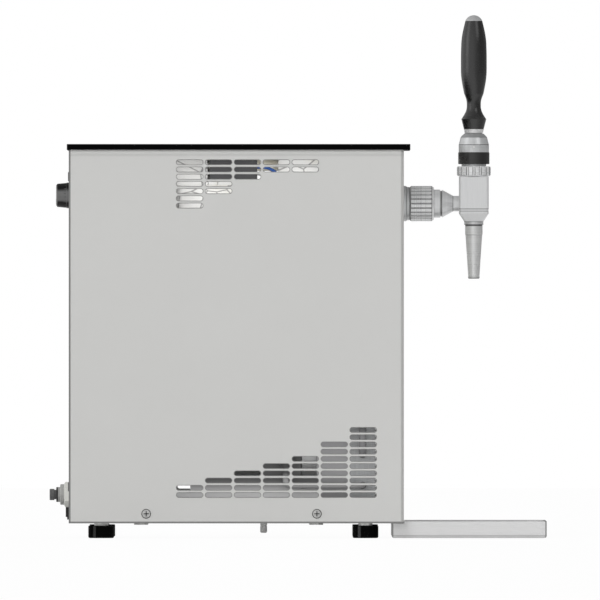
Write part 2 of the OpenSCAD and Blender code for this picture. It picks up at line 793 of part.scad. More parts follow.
module compressor_grommets() {
    color([0.05, 0.05, 0.05]) compressor_bolt_places() rotate_extrude()
        polygon([[bolt_r + fit, pan_top], [grommet_r, pan_top], [grommet_r, leg_z], [leg_hole_r, leg_z],
            [leg_hole_r, leg_z + leg_t], [grommet_r, leg_z + leg_t],
            [grommet_r, leg_z + leg_t + grommet_lip], [bolt_r + fit, leg_z + leg_t + grommet_lip]]);
}

module compressor_bolts() {
    nut_z = leg_z + leg_t + grommet_lip;
    color([0.75, 0.75, 0.74]) compressor_bolt_places() {
        translate([0, 0, casing_z - bolt_head_t]) cylinder(h = bolt_head_t, r = bolt_head_r);
        translate([0, 0, casing_z - eps]) cylinder(h = nut_z + 8 - casing_z, r = bolt_r);
        difference() {
            union() {
                translate([0, 0, nut_z]) cylinder(h = 1.5, r = grommet_r - 1);
                translate([0, 0, nut_z + 1.5]) cylinder(h = m6_nut_t, r = m6_nut_r, $fn = 6);
            }
            translate([0, 0, nut_z - 1]) cylinder(h = 9, r = bolt_r + fit);
        }
    }
}

// Condenser and fan

module condenser_fins() {
    gap = (core_w - 1) / (fin_count - 1);
    color([0.62, 0.63, 0.64]) for (i = [0:fin_count - 1])
        translate([core_x, i * gap - core_w / 2 + 0.4, 0]) rotate([90, 0, 0])
            linear_extrude(i == 0 || i == fin_count - 1 ? 0.8 : 0.4, center = true) difference() {
                union() {
                    translate([0, core_z]) square([core_t, core_h]);
                    if (i == 0 || i == fin_count - 1) translate([0, pan_top + fit]) square([7, core_up]);
                }
                for (k = [0:core_rows - 1]) translate([core_t / 2, core_z + (k + 0.5) * core_pass_h])
                    circle(core_tube_r + fit);
            }
}

module condenser_tube() {
    color([0.72, 0.42, 0.28]) translate([core_x + core_t / 2, 0, 0]) {
        for (k = [0:core_rows - 1]) translate([0, -core_bend_y, core_z + (k + 0.5) * core_pass_h])
            rotate([-90, 0, 0]) cylinder(h = 2 * core_bend_y, r = core_tube_r, $fn = 24);
        for (k = [0:core_rows - 2])
            translate([0, (k % 2 == 0 ? 1 : -1) * core_bend_y, core_z + (k + 1) * core_pass_h])
                rotate([0, 90, 0]) rotate([0, 0, k % 2 == 0 ? 0 : 180])
                    rotate_extrude(angle = 180, $fn = 24) translate([core_pass_h / 2, 0])
                        circle(core_tube_r, $fn = 24);
    }
}

module fan_shroud() {
    y = core_w / 2;
    duct_r = fan_r + 3;
    color([0.3, 0.3, 0.31]) {
        difference() {
            translate([shroud_x + duct_len, -y, core_z]) cube([shroud_len - duct_len, 2 * y, core_h]);
            translate([shroud_x + duct_len + shroud_t, shroud_t - y, core_z + shroud_t])
                cube([shroud_len, 2 * (y - shroud_t), core_h - 2 * shroud_t]);
            translate([shroud_x, 0, fan_z]) rotate([0, 90, 0]) cylinder(h = shroud_len, r = duct_r);
        }
        translate([shroud_x, 0, fan_z]) rotate([0, 90, 0]) difference() {
            cylinder(h = duct_len + shroud_t, r = duct_r + shroud_t);
            translate([0, 0, -1]) cylinder(h = duct_len + shroud_t + 2, r = duct_r);
        }
        difference() {
            union() {
                for (s = [-1, 1]) translate([motor_x + 4, 0, fan_z + s * 18])
                    cube([3, 2 * y - shroud_t, 10], center = true);
                translate([motor_x + 2.5, 0, fan_z]) rotate([0, 90, 0]) cylinder(h = 8, r = motor_r + 2);
            }
            translate([motor_x - 2, 0, fan_z]) rotate([0, 90, 0]) cylinder(h = 40, r = motor_r + fit);
        }
    }
}

module fan_motor() {
    color([0.2, 0.2, 0.21]) translate([motor_x, 0, fan_z]) rotate([0, 90, 0]) {
        cylinder(h = motor_len - 6, r = motor_r);
        translate([0, 0, motor_len - 6]) cylinder(h = 4, r1 = motor_r, r2 = motor_r - 6);
        translate([0, 0, -13]) cylinder(h = 13 + eps, r = fan_shaft_r);
    }
}

module fan_blades() {
    color([0.12, 0.12, 0.13]) translate([fan_x, 0, fan_z]) rotate([0, 90, 0]) difference() {
        union() {
            cylinder(h = fan_hub_len, r = fan_hub_r, center = true);
            intersection() {
                for (i = [0:fan_blade_count - 1]) rotate([0, 0, i * 360 / fan_blade_count])
                    rotate([fan_pitch, 0, 0])
                        translate([fan_hub_r - 4, -fan_chord / 2, -fan_blade_t / 2])
                        cube([fan_r, fan_chord, fan_blade_t]);
                cylinder(h = fan_hub_len + 1, r = fan_r, center = true);
            }
        }
        cylinder(h = 2 * fan_hub_len, r = fan_shaft_r + run, center = true);
    }
}

module filter_drier() {
    x = shroud_x - 16;
    y = -core_w / 2 - 12;
    low = core_z + core_pass_h / 2 + 10;
    high = low + 82;
    pass_x = core_x + core_t / 2;
    lead_x = block_x + coil_r;
    color([0.72, 0.45, 0.3]) {
        translate([x, y, 0]) rotate_extrude() polygon([[0, low], [3, low], [3, low + 8], [9, low + 14],
            [9, high - 14], [3, high - 8], [3, high], [0, high]]);
        tube_on(rounded_route([[x, y, low - fit], [x, y, low - 10], [pass_x, y, low - 10],
            [pass_x, -core_bend_y - fit, low - 10]], 6, 3), pipe_r, 8);
        tube_on(rounded_route([[x, y, high + fit], [x, y, high + 28], [x, -30, pipe_z],
            [lead_x, 0, pipe_z], [lead_x, 0, coil_end_z - fit]], 3, 3), capillary_r, 8);
    }
}

module suction_line() {
    x = block_x + coil_r;
    color([0.72, 0.45, 0.3]) tube_on(rounded_route([[x, 0, lead_z + fit], [x, 0, crossing_z],
        [x, foam_w / 2 + 10, crossing_z], [x, foam_w / 2 + 10, pipe_z],
        [compressor_x - suction_back, stub_y, pipe_z],
        [compressor_x - suction_back, stub_y, stub_top + fit]], 9, 4), 3.2, 8);
}

module discharge_line() {
    x = compressor_x + discharge_ahead;
    y = core_w / 2 + 14;
    z = core_z + (core_rows - 0.5) * core_pass_h;
    color([0.72, 0.45, 0.3]) tube_on(rounded_route([[x, stub_y, stub_top + fit], [x, stub_y, z], [x, y, z],
        [core_x + core_t / 2, y, z], [core_x + core_t / 2, core_bend_y + fit, z]], 8, 4), pipe_r, 8);
}

// Cooler

module lead_holes() {
    for (s = [-1, 1]) translate([block_x + s * coil_r, 0, shelf_z - 20])
        cylinder(h = foam_h + foam_cap_h + 60, r = coil_tube_d / 2 + clear);
}

module insulation_base() {
    color([0.93, 0.92, 0.88]) difference() {
        translate([foam_x + foam_len / 2, 0, foam_z]) linear_extrude(foam_h)
            round_rect(foam_len, foam_w, foam_corner_r);
        translate([block_x, 0, block_z]) cylinder(h = foam_h, r = cavity_r);
        lead_holes();
    }
}

module insulation_cap() {
    color([0.93, 0.92, 0.88]) difference() {
        translate([foam_x + foam_len / 2, 0, foam_z + foam_h]) linear_extrude(foam_cap_h)
            round_rect(foam_len, foam_w, foam_corner_r);
        lead_holes();
    }
}

module cooling_block() {
    color([0.75, 0.76, 0.77]) translate([block_x, 0, block_z]) cylinder(h = block_h, r = block_d / 2);
}

// Helix of whole turns with a straight lead at each end, climbing away from the turns in a quarter turn
function coil_path(start) = let (n = coil_steps, low = block_z + 10)
    concat(
        [for (z = [coil_end_z, block_z]) [block_x + coil_r * cos(start), coil_r * sin(start), z]],
        [for (i = [0:coil_turns * n]) let (a = start + 360 * i / n)
            [block_x + coil_r * cos(a), coil_r * sin(a), low + coil_pitch * i / n]],
        [for (z = [foam_z + foam_h + 4, lead_z]) [block_x + coil_r * cos(start), coil_r * sin(start), z]]);

module product_coil() {
    color([0.8, 0.8, 0.8]) tube_on(coil_path(180), coil_tube_d / 2, 8);
}

module evaporator_coil() {
    color([0.72, 0.45, 0.3]) tube_on(coil_path(0), coil_tube_d / 2, 8);
}

module cooler_shelf() {
    inner = half_w - sheet - clear;
    x0 = foam_x - 10;
    len = foam_len + 20;
    color([0.7, 0.7, 0.7]) difference() {
        union() {
            translate([x0, -inner, shelf_z - sheet]) cube([len, 2 * inner, sheet]);
            for (s = [-1, 1]) translate([x0, s > 0 ? inner - sheet : -inner, shelf_z - shelf_flange_h])
                cube([len, sheet, shelf_flange_h]);
        }
        lead_holes();
        translate([control_x + control_len + 4, -half_w + 14, shelf_z - 10]) cube([30, 24, 20]);
        translate([block_x + coil_r, foam_w / 2 + 10, shelf_z]) cube([12, 12, 20], center = true);
        translate([foam_x - 10, foam_w / 2 - 20, shelf_z - 10]) cube([8, 16, 20]);
    }
}

// Controls

module thermostat() {
    color([0.86, 0.86, 0.84]) {
        translate([rear_x + sheet, -thermostat_w / 2, knob_z - thermostat_h / 2])
            cube([thermostat_len, thermostat_w, thermostat_h]);
        translate([rear_x - knob_len + 3, 0, knob_z]) rotate([0, 90, 0])
            cylinder(h = knob_len + sheet, r = knob_shaft_d / 2);
    }
}

module thermostat_knob() {
    r = knob_d / 2;
    color([0.04, 0.04, 0.04]) translate([rear_x, 0, knob_z]) difference() {
        turned_x([[-knob_len, 0], [-knob_len, r - 2.6], [1.2 - knob_len, r - 1.2], [-3, r - 0.4], [-2.6, r],
            [-clear, r], [-clear, 0]]);
        rotate([0, 90, 0]) translate([0, 0, 2.6 - knob_len])
            cylinder(h = knob_len, r = knob_shaft_d / 2 + run);
        for (i = [0:17]) rotate([i * 20 + 10, 0, 0]) translate([-knob_len - 1, r + 0.6, 0])
            rotate([0, 90, 0]) cylinder(h = knob_len - 2.6, r = 1.3, $fn = 16);
    }
}

module control_box() {
    color([0.25, 0.25, 0.26]) {
        translate([control_x, control_y, control_z]) cube([control_len, control_w, control_h]);
        translate([control_x + control_side, 1 - foam_w / 2, foam_top])
            cube([control_len - 2 * control_side, control_y + control_w + foam_w / 2 - 2,
                control_z - foam_top + eps]);
    }
}

module wire(offset) {
    x = control_x + control_len;
    y = control_y + 10 + offset;
    relay_x = compressor_x + 10 + offset;
    end_y = relay_y - relay_deep / 2 + offset;
    tube_on(rounded_route([[x + fit, y, control_z + 12], [x + 12, y, control_z + 12],
        [x + 24, y, control_z + 2 - offset], [x + 20 + offset, y, shelf_z + 18],
        [x + 12, y, pipe_z - 30], [relay_x, end_y, pipe_z - 40],
        [relay_x, end_y, shell_z + relay_up + relay_h + fit]], 6, 4), wire_r, 8);
}

module blue_wire() {
    color([0.1, 0.3, 0.75]) wire(0);
}

module brown_wire() {
    color([0.4, 0.2, 0.1]) wire(5);
}

// Product path

module inlet_hose() {
    x = block_x - coil_r;
    rise_z = coil_end_z - 14;
    color([0.88, 0.88, 0.86]) tube_on(rounded_route([[inlet_end_x + fit, -inlet_side, inlet_z],
        [rear_x + 36, -inlet_side, inlet_z], [rear_x + 36, -inlet_side, rise_z], [x, -30, rise_z],
        [x, 0, rise_z], [x, 0, coil_end_z - fit]], 9, 4), tube_d / 2, 10);
}

module outlet_hose() {
    x = block_x - coil_r;
    z = crossing_z;
    down_x = foam_x + foam_len + hose_d / 2 + 1;
    color([0.92, 0.91, 0.87]) tube_on(rounded_route([[x, 0, lead_z + fit], [x, 0, z], [x - 30, 0, z],
        [x - 30, hose_y, z], [down_x, hose_y, z], [down_x, 0, z],
        [down_x, 0, shank_z], [shank_end_x - fit, 0, shank_z]], 9, 4), hose_d / 2 - 1, 10);
}

module inlet_nut() {
    color([0.8, 0.8, 0.78]) translate([rear_x, -inlet_side, inlet_z]) rotate([0, -90, 0]) difference() {
        intersection() {
            cylinder(h = inlet_nut_t, r = inlet_hex_d / 2, $fn = 6);
            rotate_extrude() polygon([[0, 0], [inlet_hex_d / 2, 0], [inlet_hex_d / 2, inlet_nut_t - 1.2],
                [inlet_hex_d / 2 - 2, inlet_nut_t], [0, inlet_nut_t]]);
        }
        translate([0, 0, -1]) cylinder(h = inlet_nut_t + 2, r = inlet_hole_r + fit);
    }
}

module inlet_body() {
    color([0.72, 0.72, 0.71]) translate([0, -inlet_side, inlet_z]) difference() {
        turned_x([[inlet_end_x, 0], [inlet_end_x, 6], [rear_x + 12, 6], [rear_x + 12, 9.5],
            [rear_x + sheet + fit, 9.5], [rear_x + sheet + fit, inlet_hole_r],
            [inlet_collar_x - fit, inlet_hole_r], [inlet_collar_x - fit, inlet_collar_d / 2],
            [inlet_ring_x + 0.6, inlet_collar_d / 2], [inlet_ring_x, inlet_collar_d / 2 - 0.6],
            [inlet_ring_x, inlet_ring_d / 2], [retainer_x, inlet_ring_d / 2], [retainer_x, 0]]);
        translate([retainer_x - 1, 0, 0]) rotate([0, 90, 0])
            cylinder(h = 10, r = collet_skirt_r + clear);
        translate([retainer_x - 1, 0, 0]) rotate([0, 90, 0]) cylinder(h = 20, r = tube_d / 2 + run);
        translate([retainer_x - 1, 0, 0]) rotate([0, 90, 0]) cylinder(h = 60, r = tube_d / 2 - 1.2);
    }
}

module inlet_retainer() {
    color([0.05, 0.05, 0.05]) translate([0, -inlet_side, inlet_z]) difference() {
        turned_x([[retainer_x - fit, 0], [retainer_x - fit, inlet_ring_d / 2],
            [collet_x + 0.4, inlet_ring_d / 2], [collet_x, inlet_ring_d / 2 - 0.4], [collet_x, 0]]);
        translate([collet_x - 1, 0, 0]) rotate([0, 90, 0]) cylinder(h = 10, r = collet_skirt_r + run);
    }
}

module inlet_collet() {
    skirt = collet_x + inlet_ring_t + 5;
    color([0.06, 0.06, 0.06]) translate([0, -inlet_side, inlet_z]) difference() {
        turned_x([[collet_x - collet_len, 0], [collet_x - collet_len, collet_d / 2 - 0.5],
            [collet_x - collet_len + 0.5, collet_d / 2], [collet_x - collet_travel - clear, collet_d / 2],
            [collet_x - collet_travel - clear, collet_skirt_r], [skirt, collet_skirt_r], [skirt, 0]]);
        translate([collet_x - 20, 0, 0]) rotate([0, 90, 0]) cylinder(h = 60, r = tube_d / 2 + 0.2);
    }
}

module power_inlet() {
    color([0.05, 0.05, 0.05]) translate([rear_x, power_side, power_z]) rotate([0, -90, 0]) difference() {
        union() {
            linear_extrude(socket_flange_t) round_rect(socket_h, socket_w, 3);
            linear_extrude(socket_bezel_t) round_rect(socket_h - 5, socket_w - 5, 3);
            translate([0, 0, -20]) linear_extrude(20 + eps)
                square([socket_h - 4, socket_w - 4], center = true);
        }
        translate([0, 0, -15]) linear_extrude(30) round_rect(socket_open_h, socket_open_w, 2);
        for (p = pin_places) translate([p[0], p[1], -21])
            cube([pin_w + 4 * fit, pin_t + 2 * fit, 30], center = true);
    }
}

module power_pins() {
    color([0.75, 0.72, 0.6]) translate([rear_x, power_side, power_z]) rotate([0, -90, 0])
        for (p = pin_places) translate([p[0], p[1], -16]) cube([pin_w, pin_t, 24], center = true);
}

module shank() {
    r = shank_d / 2;
    color([0.7, 0.7, 0.7]) translate([0, 0, shank_z]) difference() {
        turned_x([[shank_end_x, 0], [shank_end_x, shank_tail_r], [front_x - 22, shank_tail_r],
            [front_x - 22, r - 1], [front_x - 21, r], [shank_flange_x, r],
            [shank_flange_x, flange_d / 2], [coupling_x, flange_d / 2], [coupling_x, head_r - 1],
            [tail_flange_x - 2, head_r - 1], [tail_flange_x - 2, 0]]);
        translate([shank_end_x - 1, 0, 0]) rotate([0, 90, 0])
            cylinder(h = tail_flange_x - shank_end_x, r = drink_bore_d / 2);
    }
}

module shank_backnut() {
    color([0.72, 0.72, 0.71]) translate([front_x - sheet - backnut_t, 0, shank_z]) rotate([0, 90, 0])
        difference() {
            cylinder(h = backnut_t, r = shank_d / 2 + 7, $fn = 6);
            translate([0, 0, -1]) cylinder(h = backnut_t + 2, r = shank_d / 2 + fit);
        }
}

module wall_washer() {
    r = washer_d / 2;
    color([0.72, 0.72, 0.72]) translate([washer_x, 0, shank_z]) difference() {
        turned_x([[0, 0], [0, r], [washer_t - 0.6, r], [washer_t, r - 0.6], [washer_t, 0]]);
        rotate([0, 90, 0]) translate([0, 0, -1]) cylinder(h = washer_t + 2, r = shank_d / 2 + fit);
    }
}

module coupling_nut() {
    r = coupling_d / 2;
    color([0.66, 0.66, 0.66]) translate([coupling_x, 0, shank_z]) difference() {
        turned_x([[fit, 0], [fit, r - 1.5], [1.5, r], [coupling_len - 3.2, r], [coupling_len, r - 1.6],
            [coupling_len, 0]]);
        rotate([0, 90, 0]) {
            translate([0, 0, -1]) cylinder(h = coupling_len - 1.7, r = head_r + fit);
            translate([0, 0, -1]) cylinder(h = coupling_len + 2, r = lip_r);
            flute_cuts(coupling_flutes, r, 2.2, coupling_len - 3.8, 1);
        }
    }
}

module tap_tail() {
    r = neck_d / 2;
    color([0.72, 0.72, 0.72]) translate([0, 0, shank_z]) difference() {
        turned_x([[tail_flange_x - 2 + fit, 0], [tail_flange_x - 2 + fit, head_r - 0.3],
            [tail_flange_x + tail_flange_t, head_r - 0.3], [tail_flange_x + tail_flange_t, collar_d / 2],
            [collar_end - 0.5, collar_d / 2], [collar_end, collar_d / 2 - 0.5],
            [collar_end, collar_d / 2 - 1.2], [groove_end, collar_d / 2 - 1.2],
            [groove_end, collar_d / 2 - 0.3], [cone_end, r + 0.2], [cone_end + 0.6, r], [neck_end, r],
            [neck_end, bushing_r], [neck_end + 5, bushing_r], [neck_end + 5, 0]]);
        translate([coupling_x - 20, 0, 0]) rotate([0, 90, 0]) cylinder(h = 120, r = drink_bore_d / 2);
    }
}

// Tap

module tap_body() {
    side = tap_side / 2;
    low = outlet_d / 2;
    stop_z = outlet_low + spigot_in + 2 * disc_t;
    outline = [[-low, outlet_top], [low, outlet_top], [side, body_low], [side, body_top - 0.8],
        [side - 0.8, body_top], [0.8 - side, body_top], [-side, body_top - 0.8], [-side, body_low]];
    color([0.78, 0.78, 0.78]) difference() {
        union() {
            intersection() {
                translate([tap_x, 0, outlet_top]) linear_extrude(body_top - outlet_top)
                    round_rect(tap_side, tap_side, 2.5);
                translate([tap_x, 0, 0]) rotate([90, 0, 0])
                    linear_extrude(tap_side, center = true) polygon(outline);
                translate([tap_x, 0, 0]) rotate([90, 0, 90])
                    linear_extrude(tap_side, center = true) polygon(outline);
                turned_tap([[0, outlet_top], [1.28 * low, outlet_top], [1.37 * side, body_low],
                    [1.37 * side, body_top], [0, body_top]]);
            }
            turned_tap([[0, outlet_low], [outlet_d / 2, outlet_low], [outlet_d / 2, outlet_top + eps],
                [0, outlet_top + eps]]);
            turned_tap([[0, body_top - eps], [spigot_r - 0.6, body_top - eps], [spigot_r - 0.6, spigot_top],
                [0, spigot_top]]);
        }
        translate([tap_x, 0, body_low + 1.8]) linear_extrude(2.8) difference() {
            square(2 * tap_side, center = true);
            round_rect(tap_side - 0.6, tap_side - 0.6, 2.2);
        }
        turned_tap([[0, outlet_low - 1], [nozzle_spigot_r + fit, outlet_low - 1],
            [nozzle_spigot_r + fit, stop_z], [piston_r - 1, stop_z], [piston_r - 1, stop_z + 1.5],
            [piston_r, stop_z + 1.5], [piston_r, spigot_top + 1], [0, spigot_top + 1]]);
        translate([neck_end - 1, 0, shank_z]) rotate([0, 90, 0])
            cylinder(h = 6 + fit, r = bushing_r + fit);
        translate([neck_end, 0, shank_z]) rotate([0, 90, 0])
            cylinder(h = tap_side / 2, r = port_r, $fn = 24);
    }
}

module collar_nut() {
    r = collar_nut_d / 2;
    color([0.66, 0.66, 0.66]) difference() {
        turned_tap([[spigot_r, body_top + fit], [r - 0.8, body_top + fit], [r, body_top + 1],
            [r, nut_top - 1], [r - 0.8, nut_top], [bonnet_neck_d / 2 + fit, nut_top],
            [bonnet_neck_d / 2 + fit, nut_top - nut_lip], [spigot_r, nut_top - nut_lip]]);
        translate([tap_x, 0, 0]) flute_cuts(collar_nut_flutes, r, body_top + 1.2, nut_top - 1.2, 1.3);
    }
}

module bonnet() {
    band_r = band_d / 2;
    edge = asin((cone_top - 0.7 - pivot_z) / dome_r);
    front = [sin(pour_deg), cos(pour_deg)];
    front_off = [cos(pour_deg), -sin(pour_deg)] * (rod_r + clear);
    back = [-sin(foam_deg), cos(foam_deg)];
    back_off = [-cos(foam_deg), -sin(foam_deg)] * (rod_r + clear);
    color([0.72, 0.74, 0.75]) difference() {
        turned_tap(concat(
            [[bonnet_bore_r, spigot_top + fit], [spigot_r - 0.2, spigot_top + fit],
                [spigot_r - 0.2, nut_top - nut_lip - fit], [bonnet_neck_d / 2, nut_top - nut_lip - fit],
                [bonnet_neck_d / 2, ring_low], [ring_bore_r, ring_low],
                [ring_bore_r, ring_top], [band_r, ring_top], [band_r, band_top]],
            arc(0, pivot_z, dome_r, edge, 90, 12),
            [[0, cavity_top], [bonnet_cavity_r - 0.8, cavity_top], [bonnet_cavity_r, cavity_top - 0.8],
                [bonnet_cavity_r, cavity_low], [bonnet_bore_r, cavity_low]]));
        translate([tap_x, 0, pivot_z]) rotate([90, 0, 0])
            linear_extrude(2 * (rod_r + clear), center = true) polygon([
                front_off + 4 * front, front_off + 18 * front, back_off + 18 * back, back_off + 4 * back]);
        translate([tap_x, 0, pivot_z]) rotate([90, 0, 0])
            cylinder(h = 2 * dome_r + 2, r = pivot_pin_d / 2 + fit, center = true);
    }
}

module bonnet_ring() {
    color([0.12, 0.12, 0.12]) turned_tap([[ring_bore_r + fit, ring_low],
        [ring_d / 2 - 0.4, ring_low], [ring_d / 2, ring_low + 0.4], [ring_d / 2, ring_top - fit - 0.4],
        [ring_d / 2 - 0.4, ring_top - fit], [ring_bore_r + fit, ring_top - fit]]);
}

module stem_gland() {
    color([0.85, 0.85, 0.82]) turned_tap([[stem_r + run, spigot_top + fit],
        [bonnet_bore_r - fit, spigot_top + fit], [bonnet_bore_r - fit, gland_top],
        [stem_r + run, gland_top]]);
}

module valve_piston() {
    plate_top = pivot_z - hub_d / 2 - finger_reach * tan(pour_deg) - clear - 0.6;
    notch_x = finger_reach + finger_r + 0.25;
    arm_x = notch_x + 1.3;
    prong_x = finger_reach - 1;
    notch = finger_r + 0.15;
    groove_r = piston_r - seal_deep;
    color([0.75, 0.76, 0.77]) {
        turned_tap(concat(
            [[0, piston_low], [piston_r - 0.5, piston_low], [piston_r - run, piston_low + 0.5]],
            [for (z = seal_z) each [[piston_r - run, piston_low + z], [groove_r, piston_low + z],
                [groove_r, piston_low + z + seal_h], [piston_r - run, piston_low + z + seal_h]]],
            [[piston_r - run, piston_low + piston_len], [stem_r, piston_low + piston_len],
                [stem_r, plate_top], [0, plate_top]]));
        translate([tap_x - arm_x, -arm_w / 2, plate_top - 3]) cube([arm_x + stem_r, arm_w, 3]);
        translate([tap_x, 0, pivot_z]) rotate([90, 0, 0]) linear_extrude(arm_w, center = true) polygon([
            [-arm_x, plate_top - pivot_z - 1], [-arm_x, notch + 1.4], [-prong_x, notch + 1.4],
            [-prong_x, notch], [-notch_x, notch], [-notch_x, -notch],
            [-prong_x, -notch], [-prong_x, plate_top - pivot_z - 1]]);
    }
}

module piston_seals() {
    inner = piston_r - seal_deep + fit;
    color([0.04, 0.04, 0.04]) for (z = seal_z) turned_tap([[inner, piston_low + z + fit],
        [piston_r - run, piston_low + z + fit], [piston_r - run, piston_low + z + seal_h - fit],
        [inner, piston_low + z + seal_h - fit]]);
}

module pivot_pin() {
    color([0.6, 0.6, 0.6]) translate([tap_x, 0, pivot_z]) rotate([90, 0, 0])
        cylinder(h = 2 * (band_d / 2 - 0.6), r = pivot_pin_d / 2, center = true);
}

module lever_rod() {
    color([0.75, 0.76, 0.77]) translate([tap_x, 0, pivot_z]) difference() {
        union() {
            rotate([90, 0, 0]) cylinder(h = 2 * hub_half, r = hub_d / 2, center = true);
            cylinder(h = rod_top - pivot_z, r = rod_r);
            rotate([0, -90, 0]) cylinder(h = finger_reach, r = finger_r - 0.3);
            translate([-finger_reach, 0, 0]) rotate([90, 0, 0])
                cylinder(h = arm_w, r = finger_r, center = true);
        }
        rotate([90, 0, 0]) cylinder(h = 20, r = pivot_pin_d / 2 + run, center = true);
    }
}

module ferrule() {
    r = ferrule_d / 2;
    outer = dome_r + clear;
    bore = rod_r + fit;
    color([0.72, 0.73, 0.74]) turned_tap(concat(
        [[r, ferrule_low], [grip_foot_d / 2, grip_low], [bore, grip_low]],
        arc(0, pivot_z, outer, acos(bore / outer), acos(r / outer), 8)));
}

// Grip outline as [share of the length, diameter], and the way each stretch bends:
// 0 straight, 2 level at its end, 3 level at its start
swell_d = waist_d + 0.44 * (grip_d - waist_d);
grip_knots = [[0, grip_foot_d], [0.092, ridge_d], [0.21, waist_d], [0.235, waist_d], [0.325, swell_d],
    [0.55, grip_d], [0.66, grip_d], [0.76, grip_d * 0.98], [1, grip_top_d]];
grip_bends = [0, 2, 0, 3, 2, 0, 3, 3];
function knot_value(t, a, b, bend) = a[1] + (b[1] - a[1]) * (bend == 0 ? t : bend == 2 ? sin(90 * t)
    : 1 - cos(90 * t));

module grip() {
    outline = [for (k = [0:len(grip_bends) - 1]) let (a = grip_knots[k], b = grip_knots[k + 1],
        n = grip_bends[k] == 0 ? 1 : 8)
        for (i = [0:n - 1]) [knot_value(i / n, a, b, grip_bends[k]) / 2,
            grip_low + grip_len * (a[0] + (b[0] - a[0]) * i / n)]];
    color([0.1, 0.1, 0.1]) turned_tap(concat(outline, [[grip_top_d / 2, grip_top], [3 + fit, grip_top],
        [3 + fit, grip_top - 8], [0, grip_top - 8], [0, rod_top + 1], [rod_r + fit, rod_top + 1],
        [rod_r + fit, grip_low]]));
}

module end_cap() {
    r = grip_top_d / 2;
    ball = (r * r + cap_h * cap_h) / (2 * cap_h);
    edge = asin((ball - cap_h) / ball);
    color([0.72, 0.73, 0.74]) turned_tap(concat([[0, grip_top - 7], [3, grip_top - 7], [3, grip_top + fit]],
        arc(0, grip_top + fit + cap_h - ball, ball, edge, 90, 10)));
}

module restrictor_disc() {
    z = outlet_low + spigot_in + disc_t;
    color([0.7, 0.7, 0.7]) translate([tap_x, 0, z]) difference() {
        cylinder(h = disc_t - fit, r = nozzle_spigot_r - fit);
        for (i = [0:restrictor_holes - 1]) rotate([0, 0, i * 360 / restrictor_holes]) translate([3, 0, -1])
            cylinder(h = 4, r = 0.5, $fn = 16);
    }
}

module nozzle() {
    collar_low = outlet_low - nozzle_collar_h;
    tip = nozzle_tip_d / 2;
    top = nozzle_top_d / 2;
    color([0.74, 0.75, 0.76]) turned_tap([[tip - nozzle_wall, nozzle_low], [tip - 0.4, nozzle_low],
        [tip, nozzle_low + 0.5], [tip + 0.2, nozzle_low + 2], [tip, nozzle_low + 2.3],
        [top, collar_low], [nozzle_collar_d / 2, collar_low + 0.5],
        [nozzle_collar_d / 2, outlet_low - 0.5], [nozzle_collar_d / 2 - 0.5, outlet_low],
        [nozzle_spigot_r, outlet_low], [nozzle_spigot_r, outlet_low + spigot_in],
        [top - nozzle_wall - 0.7, outlet_low + spigot_in], [top - nozzle_wall - 0.7, outlet_low]]);
}

// Drip tray

module drip_tray() {
    r = tray_edge_r;
    well_x = tray_step_x + tray_wall;
    well_w = tray_w - 2 * tray_wall;
    well_len = tray_x1 - tray_wall - well_x;
    color([0.82, 0.82, 0.82]) difference() {
        rotate([90, 0, 0]) linear_extrude(tray_w, center = true) difference() {
            union() {
                translate([tray_x0, 0]) square([tray_len, tongue_h]);
                translate([tray_step_x, 0]) square([tray_x1 - tray_step_x, tray_h]);
            }
            for (s = [-1, 1]) translate([s > 0 ? tray_x1 : tray_x0, 0]) difference() {
                square(2 * r, center = true);
                translate([-s * r, r]) circle(r);
            }
        }
        translate([well_x, -well_w / 2, grate_z]) cube([well_len, well_w, tray_h]);
        translate([well_x + 2, 2 - well_w / 2, tray_wall]) cube([well_len - 4, well_w - 4, tray_h]);
        translate([tray_x0 + tray_wall, -well_w / 2, tray_wall])
            cube([tray_tuck - tray_wall - 1, well_w, tray_h]);
    }
}

module drip_grate() {
    x0 = tray_step_x + tray_wall + clear;
    x1 = tray_x1 - tray_wall - clear;
    w = tray_w - 2 * tray_wall - 2 * clear;
    pitch = grate_slot + grate_slot_h;
    columns = floor((x1 - x0 - 12) / pitch);
    rows = floor((w - 12) / grate_row);
    start = (x0 + x1 - columns * pitch + grate_slot_h) / 2;
    color([0.7, 0.7, 0.7]) translate([0, 0, grate_z + fit]) linear_extrude(grate_t) difference() {
        translate([(x0 + x1) / 2, 0]) round_rect(x1 - x0, w, 1.5);
        for (c = [0:columns - 1], k = [0:rows - 1])
            translate([start + c * pitch, (k - (rows - 1) / 2) * grate_row])
                slot_shape(grate_slot, grate_slot_h);
    }
}

casing_wrap();
rear_panel();
base_pan();
top_lid();
casing_screws();
rubber_feet();
foot_studs();
drain_spout();
compressor();
relay_cover();
compressor_grommets();
compressor_bolts();
suction_line();
discharge_line();
condenser_fins();
condenser_tube();
fan_shroud();
fan_motor();
fan_blades();
filter_drier();
insulation_base();
insulation_cap();
cooling_block();
product_coil();
evaporator_coil();
cooler_shelf();
thermostat();
thermostat_knob();
control_box();
blue_wire();
brown_wire();
inlet_hose();
outlet_hose();
inlet_nut();
inlet_body();
inlet_retainer();
inlet_collet();
power_inlet();
power_pins();
shank();
shank_backnut();
wall_washer();
coupling_nut();
tap_tail();
tap_body();
collar_nut();
bonnet();
bonnet_ring();
stem_gland();
valve_piston();
piston_seals();
pivot_pin();
lever_rod();
ferrule();
grip();
end_cap();
restrictor_disc();
nozzle();
drip_tray();
drip_grate();
